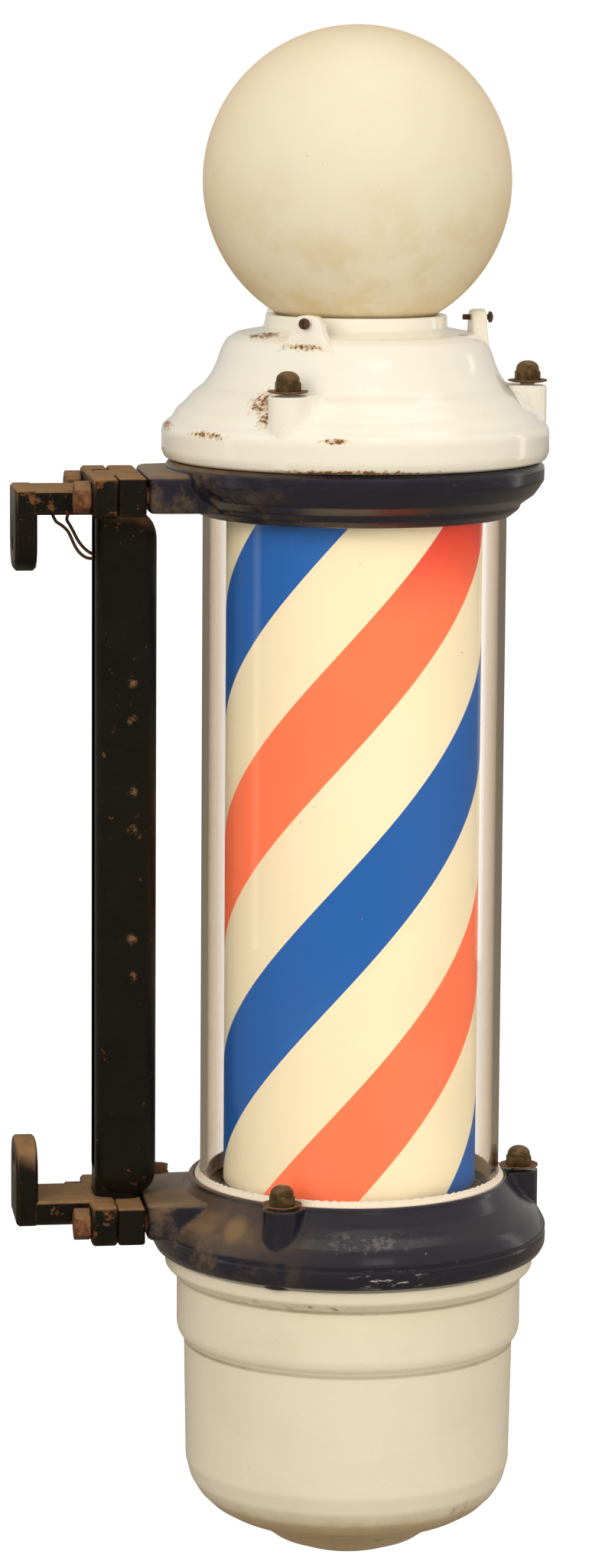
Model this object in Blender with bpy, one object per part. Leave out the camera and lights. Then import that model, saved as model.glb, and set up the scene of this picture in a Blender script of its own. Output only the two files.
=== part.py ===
"""Wall-mounted barber pole light: an opal globe over a revolving striped cylinder in a glass tube.

Two cast arms hold the pole off a spine column, and two bolted brackets carry the column on the wall.
A lamp in the globe and one in the cylinder light it, and a geared motor in the bowl turns the stripes.
Units are metres. The wall is the plane X = 0, and +Z is up. Every piece is modelled about the pole's
own axis, with height zero at the globe's centre, and an empty carries that axis to its place.
"""

import math

import bmesh
import bpy
from mathutils import Matrix

# ---- Driving dimensions ----
FIT = 0.0003  # gap between pieces that touch on the real pole
ROUND_STEPS = 28  # facets round every large turned piece, so that nested pieces stay parallel
SMALL_STEPS = 12  # facets round bosses, washers, nuts and bulbs
HOLE_STEPS = 8  # facets round studs and their holes
WALL_TO_AXIS = 0.227
GLOBE_ABOVE_BRACKET = 0.2084  # globe centre above the middle of the upper bracket's bar

GLOBE_RADIUS = 0.1016
GLOBE_WALL = 0.003
FITTER_RADIUS = 0.0495  # the globe's neck
FITTER_BOTTOM = -0.1133

COLLAR_RADIUS = 0.060
COLLAR_TOP = -0.087
CAP_RIM_RADIUS = 0.1285
CAP_BOTTOM = -0.1830
CAP_BOSS_CIRCLE = 0.115
CAP_BOSS_TOP = -0.133

UPPER_RING_RADIUS = 0.1255
UPPER_RING_TOP = CAP_BOTTOM - FIT
UPPER_RING_BOTTOM = -0.219
GLASS_RADIUS = 0.1008
GLASS_WALL = 0.0045
GLASS_TOP = -0.1863
GLASS_BOTTOM = -0.6735

LOWER_LIP_TOP = -0.6655
LOWER_BAND_RADIUS = 0.1333
LOWER_RING_BOTTOM = -0.7175
LEDGE_TOP = -0.676
LEDGE_BOTTOM = -0.682
LOWER_BOSS_CIRCLE = 0.1163
LOWER_BOSS_TOP = -0.665

BOWL_TOP = LOWER_RING_BOTTOM - FIT
BOWL_BOTTOM = -0.925
BOWL_WALL = 0.0035

STRIPE_RADIUS = 0.085
STRIPE_TOP = -0.202
STRIPE_BOTTOM = -0.670
SPINDLE_RADIUS = 0.00476

BOSS_ANGLES = (0.0, 120.0, -120.0)  # degrees from +X, away from the wall
BOSS_RADIUS = 0.0128
STUD_RADIUS = 0.00476
NUT_ACROSS_FLATS = 0.0159

ARM_HALF_WIDTH = 0.050
ARM_FACE = -0.1415
UPPER_ARM = (-0.2146, -0.1893)
LOWER_ARM = (-0.699, -0.674)
EAR_X = (-0.161, -0.143)
UPPER_EAR = (-0.216, -0.1905)
LOWER_EAR = (-0.701, -0.676)
SPINE_X = (-0.1736, -0.133)
SPINE_HALF_WIDTH = 0.025
CORE_HALF_WIDTH = 0.020
CORE_CORNER = 0.009
PLATE_X = (-0.1785, -0.1613)
BRACKET_MID = -0.44585  # the lower bracket is the upper one turned over about this height
BRACKET_HALF_WIDTH = 0.0275
FLANGE_BACK = -WALL_TO_AXIS
FLANGE_THICK = 0.0145
LAG_HOLE_RADIUS = 0.0068
LAG_HOLE_HEIGHT = -0.239
BOLT_RADIUS = 0.00635
BOLT_ACROSS_FLATS = 0.01905
BOLT_OFFSET = 0.039
BOLT_HEIGHTS = {"upper": -0.2037, "lower": -0.688}

FITTER_BEAD = 0.0013  # how far the bead on the neck's end stands out
CAP_SLEEVE_RADIUS = 0.0585
CAP_LEDGE_RADIUS = 0.0475
CAP_HOLLOW_RADIUS = 0.1205
LUG_SPAN = (0.076, 0.086)
SCREW_HEIGHT = -0.0892
SCREW_RADIUS = 0.0019
SCREW_TIP = 0.071  # distance from the axis
SCREW_SEAT = 0.0885

STUD_HOLE_RADIUS = STUD_RADIUS + FIT
WASHER_RADIUS = 0.01315
WASHER_THICK = 0.0013
NUT_FLATS_HEIGHT = 0.0066
NUT_DOME_RADIUS = 0.00765
NUT_HEIGHT = 0.0133
NUT_LIFT = FIT + WASHER_THICK + FIT
STUD_IN_NUT = 0.0088
CAP_STUD_BOTTOM = -0.1987
RING_STUD_BOTTOM = -0.7260

RING_BORE = GLASS_RADIUS + 0.0007
POCKET_RADIUS = 0.105  # takes the foot of the glass and its rope packing
THROAT_RADIUS = 0.092
RING_HOLLOW_RADIUS = 0.1095
GASKET_BORE = 0.094
ROPE_RADIUS = 0.1047
TRIM = 0.0018  # how far an arm or boss stops short of the bore that its ring already has

BRACKET_BAR_TOP = -0.1997
FLANGE_BOTTOM = -0.255
FLANGE_CORNER = 0.020
CASTING_EDGE = 0.0018
WIRE_HOLE_RADIUS = 0.0055
WIRE_HOLE_HEIGHT = -0.246
BOLT_HEAD_HEIGHT = 0.0112
BOLT_LENGTH = 0.066

GEAR_MODULE = 0.00175
GEAR_TEETH = 32
PINION_TEETH = 12
GEAR_HEIGHTS = (-0.704, -0.698)
PINION_AT = (0.0, GEAR_MODULE * (GEAR_TEETH + PINION_TEETH) / 2 + 0.0001)
PLATE_BOTTOM = -0.6848
PLATE_RADIUS = 0.109
BUSH_RADIUS = 0.009
BUSH_FLANGE_RADIUS = 0.013
GEARBOX = ((-0.043, 0.043), (-0.049, 0.059), (-0.738, -0.712))
POSTS = ((0.0325, 0.0485), (-0.0325, 0.0485), (0.0, -0.0385))
POST_RADIUS = 0.005
PINION_SHAFT_RADIUS = 0.003
SPINDLE_TOP = -0.647
SPINDLE_BOTTOM = -0.711
SPINDLE_SHOULDER = (-0.676, -0.6703)

STRIPE_WALL = 0.001
RIM_RADIUS = STRIPE_RADIUS - STRIPE_WALL - FIT
LAMP_PIPE_RADIUS = 0.0048
BRIDGE_HEIGHTS = (-0.1397, -0.1367)
BRIDGE_HALF = (0.009, 0.0865)
SOCKET_RADIUS = 0.0195
SOCKET_BORE = 0.0142
BULB_CAP_RADIUS = 0.0132
GLOBE_SOCKET = (-0.078, -0.118)  # mouth, base
CYLINDER_SOCKET = (-0.262, -0.222)
STUB_RADIUS = 0.0046
STUB_AT = (SPINE_X[1] + FIT, 0.010, -0.6625)

# ---- Supply wires: points along each, from the hole in the column's back to the cut end ----
WIRE_RADIUS = 0.0011
WIRE_ROUTES = {
    "supply_wire_1": [
        (-0.1739, 0.0018, -0.2452),
        (-0.1775, 0.0019, -0.2431),
        (-0.1812, 0.0021, -0.2395),
        (-0.1843, 0.0022, -0.2350),
        (-0.1868, 0.0020, -0.2300),
        (-0.1893, 0.0016, -0.2255),
        (-0.1912, 0.0008, -0.2222),
        (-0.1905, -0.0004, -0.2186),
    ],
    "supply_wire_2": [
        (-0.1739, -0.0020, -0.2478),
        (-0.1782, -0.0021, -0.2472),
        (-0.1822, -0.0019, -0.2446),
        (-0.1855, -0.0016, -0.2403),
        (-0.1879, -0.0013, -0.2352),
        (-0.1905, -0.0013, -0.2298),
        (-0.1945, -0.0016, -0.2258),
        (-0.1985, -0.0020, -0.2231),
        (-0.2008, -0.0020, -0.2184),
    ],
}

# ---- Outlines: (radius, height) unless named otherwise ----
CAP_BELL = [
    (COLLAR_RADIUS, -0.0955),
    (0.080, -0.1002),
    (0.0895, -0.1100),
    (0.0950, -0.1240),
    (0.1045, -0.1362),
    (0.1180, -0.1480),
    (CAP_RIM_RADIUS - 0.0006, -0.1603),
]
CAP_HOLLOW = [(0.0985, -0.141), (0.0885, -0.129), (0.0800, -0.108), (CAP_SLEEVE_RADIUS, -0.1025)]
LUG_FLANK = [(0.0200, -0.1060), (0.0130, -0.0985), (0.0100, -0.0885), (0.0060, -0.0845)]  # across, height
LUG_TOP = (0.0, -0.0837)
UPPER_OGEE = [(0.1228, -0.1995), (0.1180, -0.2055), (0.1098, -0.2125), (0.1045, -0.2178)]
LOWER_COVE = [(0.1085, -0.6680), (0.1160, -0.6785), (0.1275, -0.6893), (LOWER_BAND_RADIUS, -0.7000)]
BOWL_STEP = [(0.1164, -0.736), (0.1164, -0.769), (0.1155, -0.7724), (0.1126, -0.7767), (0.1115, -0.785)]
BOWL_NOSE = [(0.067, -0.9045), (0.0625, -0.9072), (0.0500, -0.9146), (0.0300, -0.9218), (0.0, BOWL_BOTTOM)]
BOWL_INSIDE = [
    (0.0, BOWL_BOTTOM + BOWL_WALL),
    (0.056, -0.9065),
    (0.088, -0.8945),
    (0.1070, -0.873),
    (0.108, -0.784),
    (0.1125, -0.768),
    (0.1125, -0.7365),
    (0.1085, -0.7325),
]
COLUMN_ENDS = (  # depth from the end, inset of the front face, inset of the sides
    (0.0, 0.010, 0.0095),
    (0.0035, 0.0042, 0.0035),
    (0.0075, 0.0013, 0.001),
    (0.013, 0.0, 0.0),
)
PEAR_BULB = [(0.0140, -0.066), (0.0275, -0.030), (0.0290, -0.003), (0.013, 0.0215)]
PEAR_TIP = (0.0, 0.0245)
TUBULAR_BULB = [
    (0.0145, -0.276),
    (0.0160, -0.284),
    (0.0160, -0.470),
    (0.0135, -0.481),
    (0.0070, -0.4875),
    (0.0, -0.489),
]

# ---- Finishes: colour, roughness, metallic ----
FINISHES = {
    "opal_glass": ((0.93, 0.84, 0.64), 0.18, 0.0),
    "clear_glass": ((0.90, 0.90, 0.88), 0.05, 0.0),
    "cream_enamel": ((0.95, 0.91, 0.79), 0.22, 0.0),
    "bowl_enamel": ((0.80, 0.74, 0.60), 0.35, 0.0),
    "navy_enamel": ((0.012, 0.012, 0.035), 0.25, 0.0),
    "black_paint": ((0.012, 0.011, 0.009), 0.40, 0.0),
    "rusty_steel": ((0.30, 0.10, 0.045), 0.75, 0.35),
    "dark_brass": ((0.15, 0.09, 0.035), 0.45, 0.8),
    "putty": ((0.98, 0.86, 0.70), 0.70, 0.0),
    "printed_stripes": ((0.92, 0.80, 0.60), 0.35, 0.0),
    "zinc_steel": ((0.45, 0.44, 0.42), 0.40, 0.9),
    "porcelain": ((0.85, 0.83, 0.78), 0.25, 0.0),
    "machined_brass": ((0.55, 0.38, 0.15), 0.35, 0.9),
    "motor_grey": ((0.10, 0.11, 0.11), 0.50, 0.2),
    "cloth_wire": ((0.09, 0.055, 0.025), 0.85, 0.0),
}


def clear_scene():
    """Remove whatever the file opened with."""
    for item in list(bpy.data.objects):
        bpy.data.objects.remove(item)


# ---- Outlines ----
def catmull_rom(p, q, r, s, t):
    """One coordinate of the smooth curve between q and r, at the share t of the way."""
    square = (2 * p - 5 * q + 4 * r - s) * t**2
    cube = (3 * q - p - 3 * r + s) * t**3
    return 0.5 * (2 * q + (r - p) * t + square + cube)


def smooth(keys, steps=2):
    """Points on the Catmull-Rom curve through the key points, ends included."""
    padded = [keys[0], *keys, keys[-1]]
    points = []
    for a, b, c, d in zip(padded, padded[1:], padded[2:], padded[3:]):
        for step in range(steps):
            points.append(tuple(catmull_rom(*four, step / steps) for four in zip(a, b, c, d)))
    return points + [keys[-1]]


def arc(centre, radius, start, end, steps):
    """Points on a circle from one angle to another, in degrees."""
    angles = [math.radians(start + (end - start) * i / steps) for i in range(steps + 1)]
    return [(centre[0] + radius * math.cos(a), centre[1] + radius * math.sin(a)) for a in angles]


def rounded_rectangle(low, high, radius, steps=3):
    """Outline with four equal corner arcs, counter-clockwise."""
    corners = (
        (high[0] - radius, high[1] - radius, 0),
        (low[0] + radius, high[1] - radius, 90),
        (low[0] + radius, low[1] + radius, 180),
        (high[0] - radius, low[1] + radius, 270),
    )
    return [point for x, y, turn in corners for point in arc((x, y), radius, turn, turn + 90, steps)]


def polygon(radius, sides, turn=0.0):
    """A regular outline whose first corner stands at the given angle, in degrees."""
    return arc((0, 0), radius, turn, turn + 360 * (sides - 1) / sides, sides - 1)


def gear_outline(teeth, clearance=0.00012):
    """Straight-flanked teeth of the shared module, the first one centred on +X."""
    pitch_radius = GEAR_MODULE * teeth / 2
    root = pitch_radius - 1.25 * GEAR_MODULE
    tip = pitch_radius + 0.92 * GEAR_MODULE
    step = 2 * math.pi / teeth
    points = []
    for tooth in range(teeth):
        middle = tooth * step
        for radius, share in ((root, -0.30), (tip, -0.115), (tip, 0.115), (root, 0.30)):
            angle = middle + share * step - math.copysign(clearance / radius, share)
            points.append((radius * math.cos(angle), radius * math.sin(angle)))
    return points


# ---- Meshes ----
def mesh_of(work, name="mesh"):
    """Turn a working bmesh into a mesh with its faces pointing out."""
    bmesh.ops.recalc_face_normals(work, faces=work.faces)
    mesh = bpy.data.meshes.new(name)
    work.to_mesh(mesh)
    work.free()
    return mesh


def revolved(outline, steps=ROUND_STEPS):
    """Spin a (radius, height) outline once about Z. It is closed unless both its ends lie on the axis."""
    work = bmesh.new()
    points = [work.verts.new((radius, 0, height)) for radius, height in outline]
    for a, b in zip(points, points[1:]):
        work.edges.new((a, b))
    if outline[0][0] > 0 or outline[-1][0] > 0:
        work.edges.new((points[-1], points[0]))
    geometry = points + work.edges[:]
    bmesh.ops.spin(
        work, geom=geometry, cent=(0, 0, 0), axis=(0, 0, 1), angle=math.tau, steps=steps, use_merge=True
    )
    bmesh.ops.remove_doubles(work, verts=work.verts, dist=1e-6)
    return mesh_of(work)


def tube(outer, inner, low, high, steps=ROUND_STEPS):
    """A plain straight sleeve."""
    return revolved([(inner, low), (outer, low), (outer, high), (inner, high)], steps)


def prism(outline, low, high):
    """Extrude a flat outline from one height to another."""
    work = bmesh.new()
    face = work.faces.new([work.verts.new((x, y, low)) for x, y in outline])
    grown = bmesh.ops.extrude_face_region(work, geom=[face])["geom"]
    tops = [item for item in grown if isinstance(item, bmesh.types.BMVert)]
    bmesh.ops.translate(work, verts=tops, vec=(0, 0, high - low))
    return mesh_of(work)


def lofted(rings):
    """Skin a stack of rings that have the same number of points, and close both ends."""
    work = bmesh.new()
    rows = [[work.verts.new(point) for point in ring] for ring in rings]
    for lower, upper in zip(rows, rows[1:]):
        count = len(lower)
        for i in range(count):
            work.faces.new((lower[i], lower[(i + 1) % count], upper[(i + 1) % count], upper[i]))
    work.faces.new(rows[0][::-1])
    work.faces.new(rows[-1])
    return mesh_of(work)


def softened(mesh, width, sharper_than=40.0):
    """Chamfer every edge that turns by more than the given angle."""
    work = bmesh.new()
    work.from_mesh(mesh)
    sharp = [edge for edge in work.edges if edge.calc_face_angle(0) > math.radians(sharper_than)]
    bmesh.ops.bevel(
        work, geom=sharp, offset=width, segments=1, profile=0.5, affect="EDGES", clamp_overlap=True
    )
    return mesh_of(work)


def block(x, y, z, bevel=0.0):
    """A box between the (low, high) pairs of each axis."""
    mesh = prism([(x[0], y[0]), (x[1], y[0]), (x[1], y[1]), (x[0], y[1])], z[0], z[1])
    return softened(mesh, bevel) if bevel else mesh


def rod(radius, low, high, steps=24):
    """A solid round bar on Z."""
    return prism(polygon(radius, steps), low, high)


def moved(mesh, place=(0, 0, 0), turn=0.0, axis="Z"):
    """The mesh turned by an angle in degrees about an axis and then shifted."""
    result = mesh.copy()
    result.transform(Matrix.Translation(place) @ Matrix.Rotation(math.radians(turn), 4, axis))
    return result


def around(mesh, angles=BOSS_ANGLES):
    """Copies of the mesh at each of the angles about the pole's axis."""
    return [moved(mesh, turn=angle) for angle in angles]


def along_x(mesh):
    """Lay a mesh that was built on Z along X."""
    return moved(mesh, turn=90, axis="Y")


def carved(base, joined=(), cut=()):
    """The base mesh with other meshes welded to it and then others cut from it, by exact Booleans."""
    host = bpy.data.objects.new("host", base)
    helpers = [host]
    bpy.context.collection.objects.link(host)
    steps = [(mesh, "UNION") for mesh in joined] + [(mesh, "DIFFERENCE") for mesh in cut]
    for mesh, operation in steps:
        helper = bpy.data.objects.new("helper", mesh)
        bpy.context.collection.objects.link(helper)
        helpers.append(helper)
        modifier = host.modifiers.new(operation, "BOOLEAN")
        modifier.operation = operation
        modifier.solver = "EXACT"
        modifier.object = helper
    graph = bpy.context.evaluated_depsgraph_get()
    result = bpy.data.meshes.new_from_object(host.evaluated_get(graph))
    for helper in helpers:
        bpy.data.objects.remove(helper)
    return result


# ---- Objects ----
def new_material(name, finish):
    """A Principled material with the finish's colour, roughness and metallic value."""
    colour, roughness, metallic = FINISHES[finish]
    material = bpy.data.materials.new(name)
    material.use_nodes = True
    shader = material.node_tree.nodes["Principled BSDF"]
    shader.inputs["Base Color"].default_value = (*colour, 1)
    shader.inputs["Roughness"].default_value = roughness
    shader.inputs["Metallic"].default_value = metallic
    if finish == "clear_glass":
        shader.inputs["Transmission Weight"].default_value = 1
    return material


def place(name, mesh, finish, parent, at=(0, 0, 0), turn=0.0):
    """Add one named piece under its parent, smooth-shaded with its real corners kept sharp."""
    mesh.name = name
    mesh.materials.clear()
    mesh.materials.append(new_material(name, finish))
    mesh.shade_smooth()
    mesh.set_sharp_from_angle(angle=math.radians(35))
    piece = bpy.data.objects.new(name, mesh)
    bpy.context.collection.objects.link(piece)
    piece.parent = parent
    piece.location = at
    piece.rotation_euler = (0, 0, math.radians(turn))
    return piece


def pole_empty():
    """The empty that stands on the pole's axis at the globe's centre."""
    empty = bpy.data.objects.new("pole_axis", None)
    bpy.context.collection.objects.link(empty)
    empty.location = (WALL_TO_AXIS, 0, GLOBE_ABOVE_BRACKET)
    return empty


# ---- Globe and cap ----
def globe_mesh():
    """Blown opal ball with a straight fitter neck that ends in a bead."""
    neck_angle = math.degrees(math.asin(FITTER_RADIUS / GLOBE_RADIUS))
    inner_neck = FITTER_RADIUS - GLOBE_WALL
    inner_ball = GLOBE_RADIUS - GLOBE_WALL
    inner_angle = math.degrees(math.asin(inner_neck / inner_ball))
    outside = arc((0, 0), GLOBE_RADIUS, 90, -90 + neck_angle, 13)
    inside = arc((0, 0), inner_ball, -90 + inner_angle, 90, 7)
    bead = FITTER_RADIUS + FITTER_BEAD
    neck = [
        (FITTER_RADIUS, FITTER_BOTTOM + 0.005),
        (bead, FITTER_BOTTOM + 0.003),
        (bead, FITTER_BOTTOM),
        (inner_neck, FITTER_BOTTOM),
    ]
    outside[0] = (0, GLOBE_RADIUS)
    inside[-1] = (0, inner_ball)
    return revolved(outside + neck + inside)


def cap_outline():
    """Bell outside, then the hollow inside with the sleeve and ledge that seat the globe's neck."""
    bell = smooth(CAP_BELL)
    rim = [(CAP_RIM_RADIUS, -0.165)] + arc((CAP_RIM_RADIUS - 0.007, CAP_BOTTOM + 0.007), 0.007, 0, -90, 2)
    ledge = FITTER_BOTTOM - FIT
    return (
        [(0.054, COLLAR_TOP), (COLLAR_RADIUS - 0.001, COLLAR_TOP), (COLLAR_RADIUS, COLLAR_TOP - 0.001)]
        + bell
        + rim
        + [(0.095, CAP_BOTTOM), (0.095, CAP_BOTTOM + 0.006)]
        + [(CAP_HOLLOW_RADIUS, CAP_BOTTOM + 0.006), (CAP_HOLLOW_RADIUS, -0.1645)]
        + CAP_HOLLOW
        + [(CAP_SLEEVE_RADIUS, ledge - 0.005), (CAP_LEDGE_RADIUS, ledge - 0.005)]
        + [(CAP_LEDGE_RADIUS, ledge), (0.054, ledge)]
    )


def lug_outline():
    """Bell-shaped ear for a globe screw: across the pole, then height."""
    flank = smooth(LUG_FLANK)
    return flank + [LUG_TOP] + [(-across, height) for across, height in reversed(flank)]


def radial_prism(outline, near, far):
    """Extrude an (across, height) outline along +X between two radii."""
    flat = prism(outline, near, far)
    flat.transform(Matrix(((0, 0, 1, 0), (1, 0, 0, 0), (0, 1, 0, 0), (0, 0, 0, 1))))
    return flat


def cap_mesh():
    """Bell casting with three nut bosses, three screw lugs and two seats for the lamp bridge."""
    boss = revolved(
        [
            (0, CAP_BOSS_TOP),
            (BOSS_RADIUS - 0.001, CAP_BOSS_TOP),
            (BOSS_RADIUS, CAP_BOSS_TOP - 0.001),
            (BOSS_RADIUS + 0.0003, -0.173),
            (BOSS_RADIUS - 0.002, CAP_BOTTOM + 0.0032),
            (0, CAP_BOTTOM + 0.0032),
        ],
        SMALL_STEPS,
    )
    lug = radial_prism(lug_outline(), *LUG_SPAN)
    seat = block((-0.008, 0.008), (0.082, 0.099), (-0.148, -0.140))
    stud_hole = rod(STUD_HOLE_RADIUS, -0.195, -0.12, HOLE_STEPS)
    screw_hole = moved(along_x(rod(SCREW_RADIUS + FIT, 0.070, 0.092, HOLE_STEPS)), (0, 0, SCREW_HEIGHT))
    return carved(
        revolved(cap_outline()),
        joined=around(moved(boss, (CAP_BOSS_CIRCLE, 0, 0))) + around(lug) + around(seat, (0, 180)),
        cut=around(moved(stud_hole, (CAP_BOSS_CIRCLE, 0, 0))) + around(screw_hole),
    )


def globe_screw_mesh():
    """Round-head set screw on X, with its slotted head outside the lug."""
    head = revolved([(0, 0), (0.00385, 0), (0.0034, 0.0020), (0, 0.0032)], 12)
    slot = block((-0.005, 0.005), (-0.0006, 0.0006), (0.002, 0.005))
    shank = rod(SCREW_RADIUS, SCREW_TIP - SCREW_SEAT, 0.001, HOLE_STEPS)
    screw = carved(shank, joined=[head], cut=[slot])
    return moved(along_x(screw), (SCREW_SEAT, 0, 0))


# ---- Nuts, washers and studs ----
def acorn_nut_mesh():
    """Hexagon with a domed crown, drilled blind from below."""
    corner = NUT_ACROSS_FLATS / math.sqrt(3)
    radius = NUT_DOME_RADIUS
    flats = prism(polygon(corner, 6, 30), 0, NUT_FLATS_HEIGHT)
    dome = revolved(
        [(0, 0.003), (radius, 0.003), (radius, 0.0078), (0.0060, 0.0115), (0, NUT_HEIGHT)], SMALL_STEPS
    )
    blind_hole = rod(STUD_HOLE_RADIUS, -0.002, STUD_IN_NUT + 0.0004, HOLE_STEPS)
    return carved(flats, joined=[dome], cut=[blind_hole])


def washer_mesh():
    """Dished washer with its brim turned up."""
    return revolved(
        [
            (STUD_HOLE_RADIUS, 0),
            (0.0088, 0),
            (WASHER_RADIUS, 0.0019),
            (0.0096, WASHER_THICK),
            (STUD_HOLE_RADIUS, WASHER_THICK),
        ],
        SMALL_STEPS,
    )


def add_fastenings(pole, name, circle, boss_top, stud_bottom):
    """Three sets of stud, dished washer and acorn nut on one circle of bosses."""
    for number, angle in enumerate(BOSS_ANGLES, 1):
        radians = math.radians(angle)
        at = (circle * math.cos(radians), circle * math.sin(radians), boss_top)
        stud = rod(STUD_RADIUS, stud_bottom - boss_top, NUT_LIFT + STUD_IN_NUT, HOLE_STEPS)
        place(f"{name}_stud_{number}", stud, "zinc_steel", pole, at, angle)
        washer_at = (at[0], at[1], boss_top + FIT)
        place(f"{name}_washer_{number}", washer_mesh(), "rusty_steel", pole, washer_at, angle)
        nut_at = (at[0], at[1], boss_top + NUT_LIFT)
        place(f"{name}_acorn_nut_{number}", acorn_nut_mesh(), "dark_brass", pole, nut_at, angle)


# ---- Ring castings ----
def arm_block(heights):
    """The flat arm that reaches back to the column, before the ring's bore is cut through it."""
    return block((ARM_FACE, -0.095), (-ARM_HALF_WIDTH, ARM_HALF_WIDTH), heights, 0.003)


def bolt_holes(height, low=-0.24, high=-0.1115):
    """The two bolt holes on X, one each side of the column."""
    hole = along_x(rod(BOLT_RADIUS + FIT, low, high, 12))
    return [moved(hole, (0, side * BOLT_OFFSET, height)) for side in (-1, 1)]


def upper_ring_mesh():
    """Ogee ring that grips the top of the glass, with its arm and three tapped holes."""
    outline = (
        [(RING_BORE, UPPER_RING_TOP), (0.1225, UPPER_RING_TOP)]
        + [(UPPER_RING_RADIUS, UPPER_RING_TOP - 0.003), (UPPER_RING_RADIUS, -0.1945)]
        + smooth(UPPER_OGEE)
        + [(0.1025, UPPER_RING_BOTTOM), (RING_BORE, UPPER_RING_BOTTOM)]
    )
    stud_hole = rod(STUD_HOLE_RADIUS, CAP_STUD_BOTTOM - 0.0005, -0.18, HOLE_STEPS)
    arm = carved(arm_block(UPPER_ARM), cut=[rod(RING_BORE + TRIM, -0.25, -0.15, ROUND_STEPS)])
    return carved(
        revolved(outline),
        joined=[arm],
        cut=around(moved(stud_hole, (CAP_BOSS_CIRCLE, 0, 0))) + bolt_holes(BOLT_HEIGHTS["upper"]),
    )


def lower_ring_mesh():
    """Coved ring with the pocket and ledge that carry the glass, its arm and three nut bosses."""
    outline = (
        [(POCKET_RADIUS, LOWER_LIP_TOP - 0.0006), (0.1062, LOWER_LIP_TOP), (0.1078, LOWER_LIP_TOP - 0.0006)]
        + smooth(LOWER_COVE)
        + [(LOWER_BAND_RADIUS, LOWER_RING_BOTTOM + 0.0065)]
        + arc((LOWER_BAND_RADIUS - 0.0062, LOWER_RING_BOTTOM + 0.0065), 0.0062, -30, -80, 1)
        + [(0.124, LOWER_RING_BOTTOM), (RING_HOLLOW_RADIUS, LOWER_RING_BOTTOM)]
        + [(RING_HOLLOW_RADIUS, LEDGE_BOTTOM), (THROAT_RADIUS, LEDGE_BOTTOM)]
        + [(THROAT_RADIUS, LEDGE_TOP), (POCKET_RADIUS, LEDGE_TOP)]
    )
    boss = revolved(
        [
            (0, LOWER_BOSS_TOP),
            (BOSS_RADIUS - 0.0008, LOWER_BOSS_TOP),
            (BOSS_RADIUS, LOWER_BOSS_TOP - 0.0008),
            (BOSS_RADIUS + 0.0008, -0.700),
            (0, -0.700),
        ],
        SMALL_STEPS,
    )
    stud_hole = rod(STUD_HOLE_RADIUS, -0.74, -0.65, HOLE_STEPS)
    inner_trim = [
        rod(POCKET_RADIUS + TRIM, -0.679, -0.64, ROUND_STEPS),
        rod(RING_HOLLOW_RADIUS + TRIM, -0.75, -0.679, ROUND_STEPS),
    ]
    bosses = around(moved(boss, (LOWER_BOSS_CIRCLE, 0, 0)))
    return carved(
        revolved(outline),
        joined=[carved(arm_block(LOWER_ARM), joined=bosses, cut=inner_trim)],
        cut=around(moved(stud_hole, (LOWER_BOSS_CIRCLE, 0, 0))) + bolt_holes(BOLT_HEIGHTS["lower"]),
    )


# ---- Column and wall brackets ----
def spine_section(x, half_width, radius, height):
    """One rounded cross-section of the column."""
    outline = rounded_rectangle((x[0], -half_width), (x[1], half_width), radius)
    return [(a, b, height) for a, b in outline]


def spine_mesh():
    """Cast column: a full round-cornered body between two pairs of bolting ears."""
    top = UPPER_EAR[0] - 0.0016
    bottom = LOWER_EAR[1] + 0.0030
    rings = []
    for depth, inset_x, inset_y in COLUMN_ENDS:
        x = (SPINE_X[0], SPINE_X[1] - inset_x)
        rings.append(spine_section(x, SPINE_HALF_WIDTH - 0.6 * inset_y, 0.012 - 0.3 * inset_y, top - depth))
    for depth, inset_x, inset_y in reversed(COLUMN_ENDS):
        x = (SPINE_X[0] + inset_y, SPINE_X[1] - inset_x)
        rings.append(spine_section(x, SPINE_HALF_WIDTH - inset_y, 0.012 - 0.3 * inset_y, bottom + depth))
    core_low = (SPINE_X[0], -CORE_HALF_WIDTH)
    core_high = (EAR_X[1] - 0.0005, CORE_HALF_WIDTH)
    core_outline = rounded_rectangle(core_low, core_high, CORE_CORNER)
    core = prism(core_outline, LOWER_EAR[0] + 0.0005, UPPER_EAR[1] - 0.0005)
    ears = [
        block(EAR_X, (-ARM_HALF_WIDTH, ARM_HALF_WIDTH), heights, CASTING_EDGE)
        for heights in (UPPER_EAR, LOWER_EAR)
    ]
    wire_hole = moved(along_x(rod(WIRE_HOLE_RADIUS, -0.180, -0.160, 12)), (0, 0, WIRE_HOLE_HEIGHT))
    holes = [hole for height in BOLT_HEIGHTS.values() for hole in bolt_holes(height, -0.17, -0.13)]
    return carved(lofted(rings[::-1]), joined=[core, *ears], cut=[wire_hole, *holes])


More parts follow.
